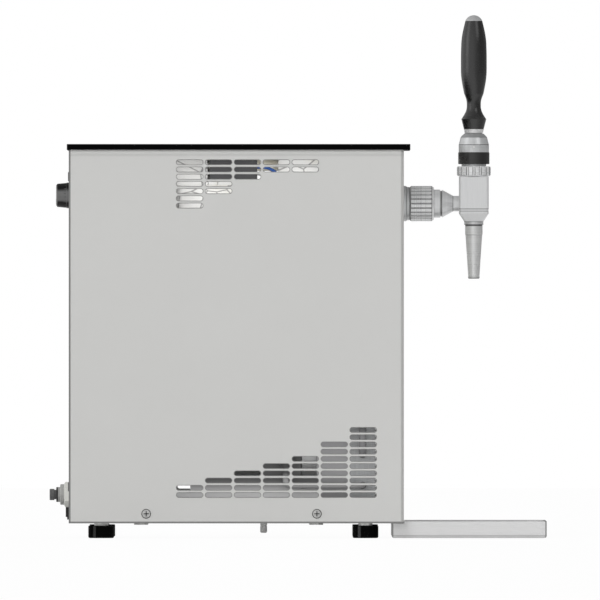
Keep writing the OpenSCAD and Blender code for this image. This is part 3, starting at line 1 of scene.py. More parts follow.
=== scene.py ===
import math
import bmesh
import bpy
import numpy as np
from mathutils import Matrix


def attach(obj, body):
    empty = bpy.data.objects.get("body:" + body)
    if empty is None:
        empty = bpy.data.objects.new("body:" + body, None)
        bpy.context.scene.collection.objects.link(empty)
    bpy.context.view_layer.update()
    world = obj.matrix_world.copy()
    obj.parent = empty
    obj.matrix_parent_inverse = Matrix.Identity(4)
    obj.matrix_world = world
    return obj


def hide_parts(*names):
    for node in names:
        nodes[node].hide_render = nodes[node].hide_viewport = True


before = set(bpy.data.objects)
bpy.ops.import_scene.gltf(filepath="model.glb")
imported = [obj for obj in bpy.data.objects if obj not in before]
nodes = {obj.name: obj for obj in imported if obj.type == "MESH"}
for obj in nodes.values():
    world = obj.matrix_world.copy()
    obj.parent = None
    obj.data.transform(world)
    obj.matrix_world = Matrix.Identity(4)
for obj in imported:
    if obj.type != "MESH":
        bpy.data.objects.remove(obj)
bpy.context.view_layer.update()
print("frame loaded:", len(nodes), "pieces of the dispenser")
alongX, alongY, upward = (1, 0, 0), (0, 1, 0), (0, 0, 1)
plainWhite = (1, 1, 1, 1)


# Node helpers, which find their tree from the sockets that they are given

def feed(socket, value):
    # Links a socket to another or sets it to a constant; None leaves it as it is
    if isinstance(value, bpy.types.NodeSocket):
        socket.id_data.links.new(value, socket)
    elif value is not None:
        socket.default_value = value


def addNode(tree, kind, inputs=(), **settings):
    # A shader node: first its settings, then its inputs, in order or by name
    node = tree.nodes.new("ShaderNode" + kind)
    for label, value in settings.items():
        setattr(node, label, value)
    for key, value in inputs.items() if isinstance(inputs, dict) else enumerate(inputs):
        feed(node.inputs[key], value)
    return node


def addMath(operation, first, second=None, clamp=False):
    tree = next(value.id_data for value in (first, second) if isinstance(value, bpy.types.NodeSocket))
    return addNode(tree, "Math", (first, second), operation=operation, use_clamp=clamp).outputs[0]


def times(first, second, clamp=False):
    return addMath("MULTIPLY", first, second, clamp)


def addDot(first, second):
    return addNode(first.id_data, "VectorMath", (first, second), operation="DOT_PRODUCT").outputs["Value"]


def addNoise(vector, scale, detail=3.0, rough=0.55):
    inputs = {"Vector": vector, "Scale": scale, "Detail": detail, "Roughness": rough}
    return addNode(vector.id_data, "TexNoise", inputs).outputs["Fac"]


def addCells(vector, scale, feature="F1"):
    cells = addNode(vector.id_data, "TexVoronoi", {"Vector": vector, "Scale": scale}, feature=feature)
    return cells.outputs["Distance"]


def addRange(value, low, high, toLow=0.0, toHigh=1.0):
    # Smooth step of the value from one span to another
    inputs = {"Value": value, "From Min": low, "From Max": high, "To Min": toLow, "To Max": toHigh}
    return addNode(value.id_data, "MapRange", inputs, interpolation_type="SMOOTHSTEP").outputs["Result"]


def addBlend(mask, first, second):
    return addNode(mask.id_data, "Mix", {0: mask, 6: first, 7: second}, data_type="RGBA").outputs[2]


def faceNormal(socket):
    return addNode(socket.id_data, "NewGeometry").outputs["Normal"]


def lightPathMask(tree, *rays):
    # One where the ray is any of the named kinds
    path = addNode(tree, "LightPath").outputs
    masks = [path["Is %s Ray" % ray] for ray in rays]
    total = masks[0]
    for mask in masks[1:]:
        total = addMath("MAXIMUM", total, mask)
    return total


def mixOutput(kind, mask, first, second):
    # The second shader where the mask is one, else the first, as the surface of a world or material
    mix = addNode(mask.id_data, "MixShader", (mask, first.outputs[0], second.outputs[0]))
    addNode(mask.id_data, kind, {"Surface": mix.outputs[0]})


# Camera, floor and light

view = {
    "lens": 1650, "sensor": 36, "imageWidth": 0.582, "clipEnd": 60,
    "middleX": 0.0019, "middleZ": 0.2307, "planeY": -0.06,
}
# Each sun is (name, strength, angle, turn); each vent lamp is (watts, x, z, width, height) just inside a side wall,
# its watts for one lampArea in square metres
light = {
    "suns": [("keySun", 1.36, 26, (52, 0, -24)), ("fillSun", 1.0, 60, (68, 0, 80)),
        ("rimSun", 0.9, 20, (84, 0, -78)), ("backSun", 0.9, 60, (58, 0, 160))],
    "ventLamps": {"low": (0.2, -0.02, 0.075, 0.23, 0.075), "high": (0.26, -0.045, 0.343, 0.15, 0.055),
        "under": (0.35, -0.06, 0.008, 0.28, 0.01)},
    "lampArea": 0.03, "lampY": 0.1045, "farLowShare": 0.22, "ambient": 0.47,
    "ahead": 0.86, "right": 0.24, "behind": 0.24, "above": 0.55,
    "strip": 0.85, "stripAngle": -62, "window": 1.25, "windowAim": (0.53, -0.68, 0.5),
}
ground = {
    "reach": 7.0, "below": 0.0002, "matt": (0.7, 0.7, 0.7, 1), "farMatt": (0.32, 0.32, 0.32, 1),
    "farFrom": 0.3, "farTo": 1.1, "glow": 0.6, "farGlow": 0.14, "whiteShare": 0.955,
}


def addCamera():
    camera = bpy.data.objects.new("studioCamera", bpy.data.cameras.new("studioCamera"))
    bpy.context.collection.objects.link(camera)
    camera.data.lens = view["lens"]
    camera.data.sensor_width = view["sensor"]
    camera.data.clip_end = view["clipEnd"]
    away = view["imageWidth"] * view["lens"] / view["sensor"]
    camera.location = (view["middleX"], view["planeY"] - away, view["middleZ"])
    camera.rotation_euler = (math.radians(90), 0, 0)
    bpy.context.scene.camera = camera


def addLamp(name, kind, energy, turn, place=(0, 0, 0), **settings):
    data = bpy.data.lights.new(name, kind)
    data.energy = energy
    for label, value in settings.items():
        setattr(data, label, value)
    lamp = bpy.data.objects.new(name, data)
    lamp.location = place
    lamp.rotation_euler = [math.radians(a) for a in turn]
    lamp.visible_glossy = False
    lamp.visible_camera = kind == "SUN"
    bpy.context.collection.objects.link(lamp)


def addLamps():
    # Suns, and weak lamps inside both side walls and the pan so that the works show through the slots
    for name, strength, angle, turn in light["suns"]:
        addLamp(name, "SUN", strength, turn, angle=math.radians(angle))
    for side in (-1, 1):
        for name, (watts, x, z, width, height) in light["ventLamps"].items():
            share = light["farLowShare"] if name == "low" and side > 0 else 1.0
            energy = watts * share * width * height / light["lampArea"]
            place, turn = (x, side * light["lampY"], z), (-90 * side, 0, 0)
            addLamp("ventLamp_%s_%d" % (name, -side), "AREA", energy, turn, place, shape="RECTANGLE", size=width,
                size_y=height)


def studioSeenInGloss(tree):
    # What metal and plastic reflect: pale ahead, dimmer at the right, behind and above,
    # with a tall soft strip of light at the left and a soft window high at the right
    place = addNode(tree, "TexCoord").outputs["Generated"]

    def toward(direction, *span):
        return addRange(addDot(place, direction), *span)

    room = toward(alongX, -0.3, 1.0, light["ahead"], light["right"])
    room = times(room, toward(alongY, 0.5, 1.0, 1.0, light["behind"]))
    room = times(room, toward(upward, 0.2, 0.9, 1.0, light["above"]))
    turn = math.radians(light["stripAngle"])
    aim, across = (math.sin(turn), -math.cos(turn), 0), (math.cos(turn), math.sin(turn), 0)
    strip = addRange(addMath("ABSOLUTE", addDot(place, across)), 0.3, 0.1, 0.0, light["strip"])
    strip = times(times(strip, toward(aim, 0.1, 0.4)), toward(upward, 0.7, 0.4))
    window = toward(light["windowAim"], 0.94, 0.99, 0.0, light["window"])
    return addMath("ADD", room, addMath("ADD", strip, window))


def addWorld():
    world = bpy.data.worlds.new("paleStudio")
    world.use_nodes = True
    bpy.context.scene.world = world
    tree = world.node_tree
    tree.nodes.clear()
    backdrop = lightPathMask(tree, "Camera", "Transmission")
    seen = addMath("MAXIMUM", studioSeenInGloss(tree), backdrop)
    soft = addNode(tree, "Background", {"Color": plainWhite, "Strength": light["ambient"]})
    clear = addNode(tree, "Background", {"Color": plainWhite, "Strength": seen})
    mixOutput("OutputWorld", lightPathMask(tree, "Camera", "Glossy", "Transmission"), soft, clear)


def addFloor():
    # Pale floor that the camera sees as near white, with the object's soft shadow left in
    reach = ground["reach"]
    mesh = bpy.data.meshes.new("studioFloor")
    mesh.from_pydata([(-reach, -reach, 0), (reach, -reach, 0), (reach, reach, 0), (-reach, reach, 0)],
        [], [(0, 1, 2, 3)])
    floor = bpy.data.objects.new("studioFloor", mesh)
    floor.location = (0, 0, -ground["below"])
    bpy.context.collection.objects.link(floor)
    paleFloor = bpy.data.materials.new("paleFloor")
    paleFloor.use_nodes = True
    tree = paleFloor.node_tree
    tree.nodes.clear()
    # Metal sees a darker floor far to the right, as beside a studio's black flag
    seenInGloss = lightPathMask(tree, "Glossy")
    place = addNode(tree, "TexCoord").outputs["Object"]
    far = addRange(addDot(place, alongX), ground["farFrom"], ground["farTo"])
    colour = addBlend(times(seenInGloss, far), ground["matt"], ground["farMatt"])
    gloss = times(seenInGloss, addRange(far, 0.0, 1.0, ground["glow"], ground["farGlow"]))
    seen = addMath("MAXIMUM", gloss, lightPathMask(tree, "Camera", "Transmission"))
    matt = addNode(tree, "BsdfDiffuse", {"Color": colour})
    glow = addNode(tree, "Emission", {"Color": plainWhite, "Strength": 1.0})
    mixOutput("OutputMaterial", times(seen, ground["whiteShare"]), matt, glow)
    mesh.materials.append(paleFloor)


addCamera()
addLamps()
addWorld()
addFloor()
bpy.context.scene.view_settings.view_transform = "Standard"
print("studio set")


# Shared effects, each a node group that gives masks, heights or colours

effects = {}


def effect(outputs, **inputs):
    # Makes a node group of the function under it, which takes a vector and the inputs and returns the outputs
    def makeGroup(build):
        group = bpy.data.node_groups.new(build.__name__, "ShaderNodeTree")
        for label, value in {"Vector": (0, 0, 0), **inputs}.items():
            kind = "Float" if isinstance(value, float) else "Color" if len(value) == 4 else "Vector"
            socket = group.interface.new_socket(name=label, in_out="INPUT", socket_type="NodeSocket" + kind)
            socket.default_value = value
        for label in outputs:
            kind = "Color" if label == "Color" else "Float"
            group.interface.new_socket(name=label, in_out="OUTPUT", socket_type="NodeSocket" + kind)
        given, result = group.nodes.new("NodeGroupInput").outputs, group.nodes.new("NodeGroupOutput").inputs
        for label, value in zip(outputs, build(given)):
            feed(result[label], value)
        effects[build.__name__] = group
        return build
    return makeGroup


@effect(["Color"], Base=(0.5, 0.5, 0.5, 1), Amount=0.1, Scale=20.0)
def toneDrift(given):
    # Colour that drifts a little over a piece: base times (1 + amount * slow noise)
    shift = addMath("SUBTRACT", addNoise(given["Vector"], given["Scale"], 4.0), 0.5)
    gain = addMath("ADD", times(shift, given["Amount"]), 1.0)
    scaled = addNode(gain.id_data, "VectorMath", {0: given["Base"], "Scale": gain}, operation="SCALE")
    return [scaled.outputs[0]]


@effect(["Grain", "Drift"], Scale=2500.0)
def fineGrain(given):
    # Fine two-octave grain, as on powder coat or moulded plastic, from 0 to 1, and a slow drift
    fine = addNoise(given["Vector"], given["Scale"], 2.0)
    broad = addNoise(given["Vector"], times(given["Scale"], 0.17), 2.0)
    return addMath("ADD", times(fine, 0.65), times(broad, 0.35)), addNoise(given["Vector"], 35.0)


@effect(["Lines", "Bands"], Squeeze=(1.0, 60.0, 60.0), Scale=60.0)
def brushLines(given):
    # Long scratches: noise on coordinates squeezed along the brushing direction
    vector, scale = given["Vector"], given["Scale"]
    squeezed = addNode(vector.id_data, "VectorMath", (vector, given["Squeeze"]), operation="MULTIPLY").outputs[0]
    return addNoise(squeezed, scale, 3.0, 0.7), addNoise(squeezed, times(scale, 0.1), 2.0)


@effect(["Lines"], Axis=upward, Scale=1500.0)
def latheLines(given):
    # Turning marks: noise that changes along the axis and with the radius, never round the piece
    vector, along = given["Vector"], addDot(given["Vector"], given["Axis"])
    length = addNode(vector.id_data, "VectorMath", (vector,), operation="LENGTH").outputs["Value"]
    square = addMath("SUBTRACT", addMath("POWER", length, 2.0), addMath("POWER", along, 2.0))
    radius = addMath("SQRT", addMath("MAXIMUM", square, 0.0))
    place = addNode(vector.id_data, "CombineXYZ", (along, radius)).outputs[0]
    return [addNoise(place, given["Scale"], 2.0, 0.7)]


@effect(["Edge"], Width=0.0006, Break=0.35)
def edgeMask(given):
    # One on sharp edges and in seams, zero on open faces: how far the rounded normal turns from the true one
    vector = given["Vector"]
    rounded = addNode(vector.id_data, "Bevel", {"Radius": given["Width"]}, samples=6).outputs[0]
    mask = addRange(addDot(rounded, faceNormal(vector)), 0.995, 0.9)
    breakup = times(addNoise(vector, 900.0), given["Break"])
    return [times(mask, addMath("SUBTRACT", 1.0, breakup), True)]


@effect(["Dust"], Amount=0.2)
def settledDust(given):
    # Thin dust on faces that look up, broken by noise
    facingUp = addRange(addDot(faceNormal(given["Vector"]), upward), 0.3, 0.95)
    patches = addRange(addNoise(given["Vector"], 160.0, 5.0, 0.65), 0.35, 0.75)
    return [times(times(facingUp, patches), given["Amount"])]


@effect(["Line"], Axis=upward, Place=0.0, Half=0.0005)
def narrowBand(given):
    # One on a narrow band across an axis, at a place along it, fading to zero half a width away
    away = addMath("ABSOLUTE", addMath("SUBTRACT", addDot(given["Vector"], given["Axis"]), given["Place"]))
    return [addRange(addMath("DIVIDE", away, given["Half"]), 1.0, 0.6)]


@effect(["Mask"], Direction=alongX, Low=0.1, High=0.5)
def facing(given):
    # How far a face looks along a direction: zero below the low value, one above the high one
    return [addRange(addDot(faceNormal(given["Vector"]), given["Direction"]), given["Low"], given["High"])]


print("shared effects built:", ", ".join(effects))


# Finishes: the colour of each, linear, as one number where it is grey
finish = {
    "casing": (0.556, 0.556, 0.544), "casingEdge": 0.2, "pan": (0.5, 0.5, 0.49), "lid": 0.0016, "lidEdge": 0.012,
    "lipShade": (0.21, 0.21, 0.205), "lipEdge": 0.1, "zinc": (0.58, 0.58, 0.57), "shelf": (0.45, 0.45, 0.44),
    "steel": (0.66, 0.67, 0.675), "brightSteel": (0.74, 0.745, 0.75), "nut": (0.82, 0.825, 0.83),
    "flutes": (0.08, 0.08, 0.082), "bonnet": (0.62, 0.63, 0.635), "nozzle": (0.75, 0.755, 0.75), "ferrule": 0.74,
    "cap": (0.53, 0.535, 0.54), "ring": 0.004, "grip": 0.005, "tray": 0.74, "hemShade": 0.17, "grate": 0.56,
    "rubber": 0.0006, "grommet": 0.01, "drain": (0.8, 0.8, 0.79), "knob": 0.145, "knobShade": 0.002,
    "blackPlastic": 0.012, "greyPlastic": (0.33, 0.33, 0.32), "palePlastic": (0.62, 0.62, 0.59),
    "collet": 0.09, "retainer": 0.02, "pins": (0.6, 0.52, 0.34), "thermostat": (0.7, 0.7, 0.66),
    "control": (0.022, 0.022, 0.023), "mark": 0.03, "pointer": (0.75, 0.75, 0.73), "recess": 0.035,
    "compressor": (0.42, 0.42, 0.422), "compressorEdge": 0.02, "compressorLitFoot": (0.8, 0.8, 0.79),
    "relay": 0.075, "tube": (0.08, 0.08, 0.082), "drier": 0.03, "drierFoot": 0.12, "copper": (0.52, 0.24, 0.12),
    "copperStain": (0.2, 0.09, 0.05), "fins": (0.36, 0.365, 0.37), "block": (0.6, 0.61, 0.62),
    "shroud": (0.13, 0.13, 0.132), "shroudEdge": 0.06, "shroudLitCollar": 0.75, "motor": (0.05, 0.05, 0.052),
    "motorEdge": 0.01, "shield": 0.2, "shieldLitFoot": (0.7, 0.7, 0.69), "kick": 0.036, "kickEdge": 0.05,
    "kickLitFoot": 0.27, "foam": (0.74, 0.735, 0.72), "sleeve": (0.84, 0.82, 0.75), "foamPit": (0.55, 0.52, 0.44),
    "hose": (0.75, 0.75, 0.72), "blueWire": (0.005, 0.042, 0.17), "brownWire": (0.11, 0.045, 0.018),
    "dust": (0.55, 0.54, 0.52), "plasticDust": (0.4, 0.39, 0.37),
}
brushing = {"X": (1.0, 60.0, 60.0), "Z": (60.0, 60.0, 1.0)}
foamYellowing = (0.96, 0.88, 0.66)


def rgba(name, factor=1.0, lift=0.0):
    # A finish's colour for a socket, times a factor or one for each channel, and raised by a lift
    colour = np.minimum(np.ones(3) * finish[name] * factor + lift, 1)
    return (*colour.tolist(), 1.0)


def startMaterial(name, centre=(0, 0, 0)):
    material = bpy.data.materials.new(name)
    material.use_nodes = True
    tree = material.node_tree
    place = addNode(tree, "TexCoord").outputs["Object"]
    move = addNode(tree, "Mapping", {"Vector": place, "Location": [-c for c in centre]})
    return material, move.outputs[0]


def setSurface(material, colour, gloss, bump, metallic=0.0, specular=0.5):
    # Gloss is (mask, least roughness, most) and may end with the mask's own low and high; bump is (height,
    # strength, depth)
    tree = material.node_tree
    mask, least, most, low, high = (*gloss, 0.3, 0.7)[:5]
    height, strength, depth = bump
    bumped = addNode(tree, "Bump", {"Height": height, "Strength": strength, "Distance": depth})
    for label, value in (("Base Color", colour), ("Roughness", addRange(mask, low, high, least, most)),
            ("Metallic", metallic), ("Specular IOR Level", specular), ("Normal", bumped.outputs[0])):
        feed(tree.nodes["Principled BSDF"].inputs[label], value)
    return material


def addLayer(material, makeLayer):
    # Puts a layer over a material's colour; makeLayer takes (vector, colour so far) and gives the new one
    tree = material.node_tree
    socket = tree.nodes["Principled BSDF"].inputs["Base Color"]
    feed(socket, makeLayer(tree.nodes["Mapping"].outputs[0], socket.links[0].from_socket))
    return material


def useEffect(name, vector, **values):
    return addNode(vector.id_data, "Group", {"Vector": vector, **values}, node_tree=effects[name]).outputs


def toned(vector, colour, amount, scale):
    return useEffect("toneDrift", vector, Base=rgba(colour), Amount=amount, Scale=scale)["Color"]


def edged(vector, base, colour, share, width, broken=0.35):
    # Another colour on sharp edges and in seams: where it is darker it is painted shade along the edges and in the
    # seams, where lighter it is rubbed wear
    edge = useEffect("edgeMask", vector, Width=width, Break=broken)["Edge"]
    return addBlend(times(edge, share), base, colour)


def dusted(vector, base, colour, amount):
    return addBlend(useEffect("settledDust", vector, Amount=amount)["Dust"], base, rgba(colour))


def shadingLines(vector, base, lines, dark):
    # Bands across an axis in another colour: dark seam lines, painted shade at edges, steps and folds, painted shadow
    # under the lid, and painted highlights on the feet; each line is (axis, place along it, half its width, how
    # strong), in metres
    for axis, place, half, share in lines:
        line = useEffect("narrowBand", vector, Axis=axis, Place=place, Half=half)["Line"]
        base = addBlend(times(line, share), base, dark)
    return base


def foldShade(vector, base, folds, dark):
    # Painted shade on faces that turn partly towards a direction, as on a sheet's bends and on a knob's top and
    # bottom: each fold is (direction, low, high, fade low, fade high, how dark)
    for direction, low, high, fadeLow, fadeHigh, share in folds:
        rise = useEffect("facing", vector, Direction=direction, Low=low, High=high)["Mask"]
        fall = useEffect("facing", vector, Direction=direction, Low=fadeLow, High=fadeHigh)["Mask"]
        mask = times(rise, addMath("SUBTRACT", 1.0, fall))
        base = addBlend(times(mask, share), base, dark)
    return base


def coatedSheet(name, colour, edgeColour="casingEdge", roughness=0.42, drift=0.05, edgeShare=0.5, dust=0.06,
        specular=0.5, lines=(), folds=()):
    # Powder-coated or painted sheet: orange peel, faint drift of tone, settled dust, edges and seams in another
    # colour, which is painted shade where it is darker, and the given lines and folds, which are dark seams, painted
    # shadow and painted shade
    material, vector = startMaterial(name)
    base = edged(vector, toned(vector, colour, drift, 9.0), rgba(edgeColour), edgeShare, 0.0006)
    base = shadingLines(vector, base, lines, rgba(colour, 0.25))
    base = foldShade(vector, base, folds, rgba(colour, 0.45))
    grain = useEffect("fineGrain", vector, Scale=1800.0)["Grain"]
    return setSurface(material, dusted(vector, base, "dust", dust),
        (grain, roughness - 0.05, roughness + 0.07), (grain, 0.12, 0.0001), specular=specular)


def satinSteel(name, colour, along, roughness, metallic, lineShare=0.12, lines=()):
    # Brushed stainless or aluminium sheet with straight scratches, painted shade on its edges and along the given
    # lines
    material, vector = startMaterial(name)
    brush = useEffect("brushLines", vector, Squeeze=brushing[along], Scale=55.0)
    base = addBlend(addRange(brush["Lines"], 0.62, 0.38), toned(vector, colour, 0.08, 14.0),
        rgba(colour, 1 - lineShare))
    base = shadingLines(vector, base, lines, rgba(colour, 0.3))
    base = edged(vector, base, rgba(colour, 0.35), 0.35, 0.0005)
    return setSurface(material, base, (brush["Bands"], roughness - 0.06, roughness + 0.08),
        (brush["Lines"], 0.16, 0.00008), metallic)


def turnedSteel(name, colour, axis, centre, roughness=0.34, metallic=0.8, lines=(), edgeShare=0.55):
    # Lathe-turned or polished stainless, with fine marks round its axis and painted shade on its edges and in the
    # given bands; each line is (place, half width, how dark)
    material, vector = startMaterial(name, centre)
    lathe = useEffect("latheLines", vector, Axis=axis, Scale=1400.0)["Lines"]
    base = addBlend(addRange(lathe, 0.65, 0.35), toned(vector, colour, 0.1, 60.0), rgba(colour, 0.9))
    base = shadingLines(vector, base, [(axis, *line) for line in lines], rgba(colour, 0.18))
    base = edged(vector, base, rgba(colour, 0.22), edgeShare, 0.00035, 0.15)
    return setSurface(material, base, (lathe, roughness - 0.05, roughness + 0.08), (lathe, 0.1, 0.00006), metallic)


def mouldedPlastic(name, colour, roughness=0.45, specular=0.35, grainScale=2600.0, grainDepth=0.00008):
    # Injection-moulded plastic: fine spark grain, lighter rubbed edges, a little dust on top
    material, vector = startMaterial(name)
    base = edged(vector, toned(vector, colour, 0.16, 40.0), rgba(colour, 1.5, 0.02), 0.25, 0.0004)
    grain = useEffect("fineGrain", vector, Scale=grainScale)
    return setSurface(material, dusted(vector, base, "plasticDust", 0.15),
        (grain["Drift"], roughness - 0.05, roughness + 0.09), (grain["Grain"], 0.25, grainDepth), specular=specular)


def softRubber(name, colour, roughness=0.62, specular=0.3, lines=()):
    # Rubber: matt, slightly mottled, greyer on its edges; its lines are painted highlights, paler bands across an
    # axis
    material, vector = startMaterial(name)
    base = shadingLines(vector, toned(vector, colour, 0.5, 120.0), lines, rgba(colour, lift=0.025))
    base = edged(vector, base, rgba(colour, lift=0.03), 0.3, 0.0006)
    grain = useEffect("fineGrain", vector, Scale=1500.0)["Grain"]
    return setSurface(material, base, (grain, roughness - 0.06, roughness + 0.1), (grain, 0.3, 0.0001),
        specular=specular)


def drawnCopper(name, colour):
    # Drawn copper tube with brown handling marks
    material, vector = startMaterial(name)
    stain = addRange(addNoise(vector, 130.0, 5.0, 0.7), 0.5, 0.72, 0.0, 0.55)
    base = addBlend(stain, toned(vector, colour, 0.35, 70.0), rgba("copperStain"))
    grain = useEffect("fineGrain", vector, Scale=900.0)["Grain"]
    return setSurface(material, base, (stain, 0.28, 0.55, 0.0, 0.55), (grain, 0.1, 0.0001), 0.9)


def zincPlate(name, colour, metallic=0.75):
    # Zinc-plated steel: small crystal patches that differ in tone and gloss, and painted shade on its edges
    material, vector = startMaterial(name)
    patch = addRange(addCells(vector, 240.0), 0.1, 0.8)
    base = addBlend(patch, rgba(colour), rgba(colour, 0.82))
    base = edged(vector, base, rgba(colour, 0.25), 0.5, 0.0004)
    return setSurface(material, base, (patch, 0.3, 0.44, 0.0, 1.0), (patch, 0.05, 0.0001), metallic)


def cellFoam(name, colour, creaseShade=0.0):
    # Moulded insulation foam: skin with small cells, yellowed patches, and painted shade in thin creases
    material, vector = startMaterial(name)
    pits = addRange(addCells(vector, 520.0), 0.0, 0.35, 1.0, 0.0)
    patches = addRange(addNoise(vector, 26.0, 4.0), 0.5, 0.75, 0.0, 0.4)
    base = addBlend(patches, toned(vector, colour, 0.1, 22.0), rgba(colour, foamYellowing))
    crease = addRange(addCells(vector, 42.0, "DISTANCE_TO_EDGE"), 0.035, 0.01, 0.0, creaseShade)
    base = addBlend(crease, base, rgba(colour, 0.25))
    base = addBlend(times(pits, 0.18), base, rgba("foamPit"))
    return setSurface(material, base, (pits, 0.78, 0.95, 0.0, 1.0), (pits, 0.35, 0.0003))


def paleBelow(material, high, low, share, colour, axis=upward):
    # A paler colour below a place on an axis: painted light, as light off the pan and on a part that lies in shade,
    # and also a part in another paint
    def makeLayer(vector, before):
        mask = addRange(addDot(vector, axis), high, low, 0.0, share)
        return addBlend(mask, before, rgba(colour))
    return addLayer(material, makeLayer)


def paint(names, material):
    for name in names.split():
        mesh = nodes[name].data
        mesh.materials.clear()
        mesh.materials.append(material)


def paintAll(makeFinish, rows):
    # Each row is a finish's name with the nodes that it goes on, its colour, and the maker's other values in order
    for name, (names, *values) in rows.items():
        paint(names, makeFinish(name, *values))


def materialOf(name):
    return nodes[name].data.materials[0]


# Axes of the turned parts, and the casing's lines and fold, in metres: dark seam lines along its bottom, a dark band
# at its rear edge, a painted shadow under the lid, and painted shade on its front fold
tapAxis = (0.170875, 0, 0.3244)
shankAxis = (0.12, 0, 0.3244)
coilAxis = (-0.0295, 0, 0.27)
lowSeam = (upward, 0.0151, 0.0013, 0.88)
casingLines = [(alongX, -0.2214, 0.0014, 0.9), lowSeam, (upward, 0.3712, 0.0016, 0.15)]
frontFoldShade = (alongX, 0.05, 0.4, 0.95, 0.995, 0.5)
knobTopAndBottomShade = [(upward, 0.2, 0.6, 1.1, 1.2, 0.97), ((0, 0, -1), 0.35, 0.6, 1.1, 1.2, 0.95)]

paint("casing_wrap", coatedSheet("greyPowderCoat", "casing", lines=casingLines, folds=[frontFoldShade]))
paint("rear_panel", coatedSheet("rearPowderCoat", "casing", lines=[lowSeam]))
paintAll(coatedSheet, {
    "panPaint": ("base_pan", "pan"), "blackLidPaint": ("top_lid", "lid", "lidEdge", 0.5, 0.3, 0.2, 0.008, 0.02),
    "compressorEnamel": ("compressor", "compressor", "compressorEdge", 0.3, 0.3),
    "shroudPaint": ("fan_shroud", "shroud", "shroudEdge", 0.45),
    "motorPaint": ("fan_motor", "motor", "motorEdge", 0.4),
})
paintAll(zincPlate, {
    "zincScrews": ("casing_screws foot_studs compressor_bolts", "zinc"),
    "shelfZinc": ("cooler_shelf", "shelf"), "platedPins": ("power_pins", "pins"),
})
paintAll(softRubber, {
    # The feet's lines are painted highlights, one upright band on each foot
    "footRubber": ("rubber_feet", "rubber", 0.5, 0.02, [(alongX, x, 0.0016, 0.9) for x in (0.0593, -0.1973)]),
    "grommetRubber": ("compressor_grommets piston_seals", "grommet"),
})
paintAll(mouldedPlastic, {
    "drainPlastic": ("drain_spout", "drain"), "relayPlastic": ("relay_cover fan_blades", "relay"),
    "paintedTube": ("discharge_line condenser_tube", "tube", 0.45, 0.3),
    "drierPaint": ("filter_drier", "drier", 0.45, 0.3), "controlPlastic": ("control_box", "control"),
    "thermostatPlastic": ("thermostat stem_gland", "thermostat"), "drinkHose": ("inlet_hose", "hose", 0.35, 0.45),
    "blueJacket": ("blue_wire", "blueWire", 0.4, 0.4, 1800.0),
    "brownJacket": ("brown_wire", "brownWire", 0.4, 0.4, 1800.0), "inletNutPlastic": ("inlet_nut", "palePlastic"),
    "inletGrey": ("inlet_body", "greyPlastic"), "inletBlack": ("inlet_collet", "collet"),
    "retainerBlack": ("inlet_retainer", "retainer"), "socketBlack": ("power_inlet", "blackPlastic"),
    "knobGrey": ("thermostat_knob", "knob", 0.32, 0.15), "ringPlastic": ("bonnet_ring", "ring", 0.26, 0.8),
    "gripPlastic": ("grip", "grip", 0.24, 0.8),
})
paintAll(drawnCopper, {"copperPipe": ("suction_line evaporator_coil", "copper")})
paintAll(cellFoam, {
    "insulationFoam": ("insulation_base insulation_cap", "foam", 0.75), "sleeveFoam": ("outlet_hose", "sleeve"),
})
paintAll(satinSteel, {
    "finAluminium": ("condenser_fins", "fins", "Z", 0.4, 0.8),
    "blockAluminium": ("cooling_block", "block", "X", 0.35, 0.9),
    # The tap body's lines are painted shade at its groove, fillet and lower edges
    "tapBodySteel": ("tap_body", "brightSteel", "Z", 0.4, 0.6, 0.06, [(upward, 0.3194, 0.0005, 0.6),
        (upward, 0.3166, 0.0004, 0.5), (upward, 0.318, 0.0018, 0.2), (upward, 0.3068, 0.0005, 0.55),
        (upward, 0.3062, 0.0016, 0.2), (upward, 0.3042, 0.0005, 0.9)]),
    # The tray's lines are painted shade along its rounded bottom edge, and dark bands at its two ends
    "traySteel": ("drip_tray", "tray", "X", 0.42, 0.5, 0.06, [(upward, 0.0013, 0.0016, 0.35),
        (upward, 0.0027, 0.0005, 0.35), (alongX, 0.2405, 0.0012, 0.9), (alongX, 0.0914, 0.0012, 0.9)]),
    "grateSteel": ("drip_grate", "grate", "X", 0.34, 0.85),
})
# Each line on the turned parts is painted shade: a band at an edge or step, and on the bonnet a wider one over the
# dome's top
paintAll(turnedSteel, {
    "coilSteel": ("product_coil", "steel", upward, coilAxis),
    "shankSteel": ("shank wall_washer shank_backnut", "steel", alongX, shankAxis, 0.34, 0.55,
        [(-0.0144, 0.0005, 0.7), (-0.0117, 0.0006, 0.7)]),
    "tailSteel": ("tap_tail", "brightSteel", alongX, shankAxis, 0.34, 0.55,
        [(0.0119, 0.0005, 0.7), (0.0192, 0.001, 0.85), (0.0305, 0.0005, 0.5)]),
    "bonnetSteel": ("bonnet", "bonnet", upward, tapAxis, 0.33, 0.66,
        [(0.0573, 0.0006, 0.7), (0.0646, 0.0005, 0.7), (0.0672, 0.0027, 0.45)]),
    "nozzleSteel": ("nozzle restrictor_disc", "nozzle", upward, tapAxis, 0.32, 0.78,
        [(-0.0211, 0.0009, 0.95), (-0.0305, 0.0004, 0.5), (-0.0725, 0.0009, 0.75)]),
    "ferruleSteel": ("ferrule pivot_pin valve_piston lever_rod", "ferrule", upward, tapAxis, 0.34, 0.6),
    "capSteel": ("end_cap", "cap", upward, tapAxis, 0.34, 0.6),
})
# Pieces that are paler below a place, each with that place's high and low, how pale and the colour: on the compressor
# painted light off the pan, on the shroud's collar painted light where the guard plate shades it, and on the drier's
# lower tube and the control box's foot another paint
for name, *layer in (("compressor", 0.063, 0.04, 0.95, "compressorLitFoot"),
        ("filter_drier", 0.064, 0.058, 1.0, "drierFoot"), ("control_box", 0.3473, 0.3469, 1.0, "foam"),
        ("fan_shroud", 0.018, 0.0172, 1.0, "shroudLitCollar", alongX)):
    paleBelow(materialOf(name), *layer)
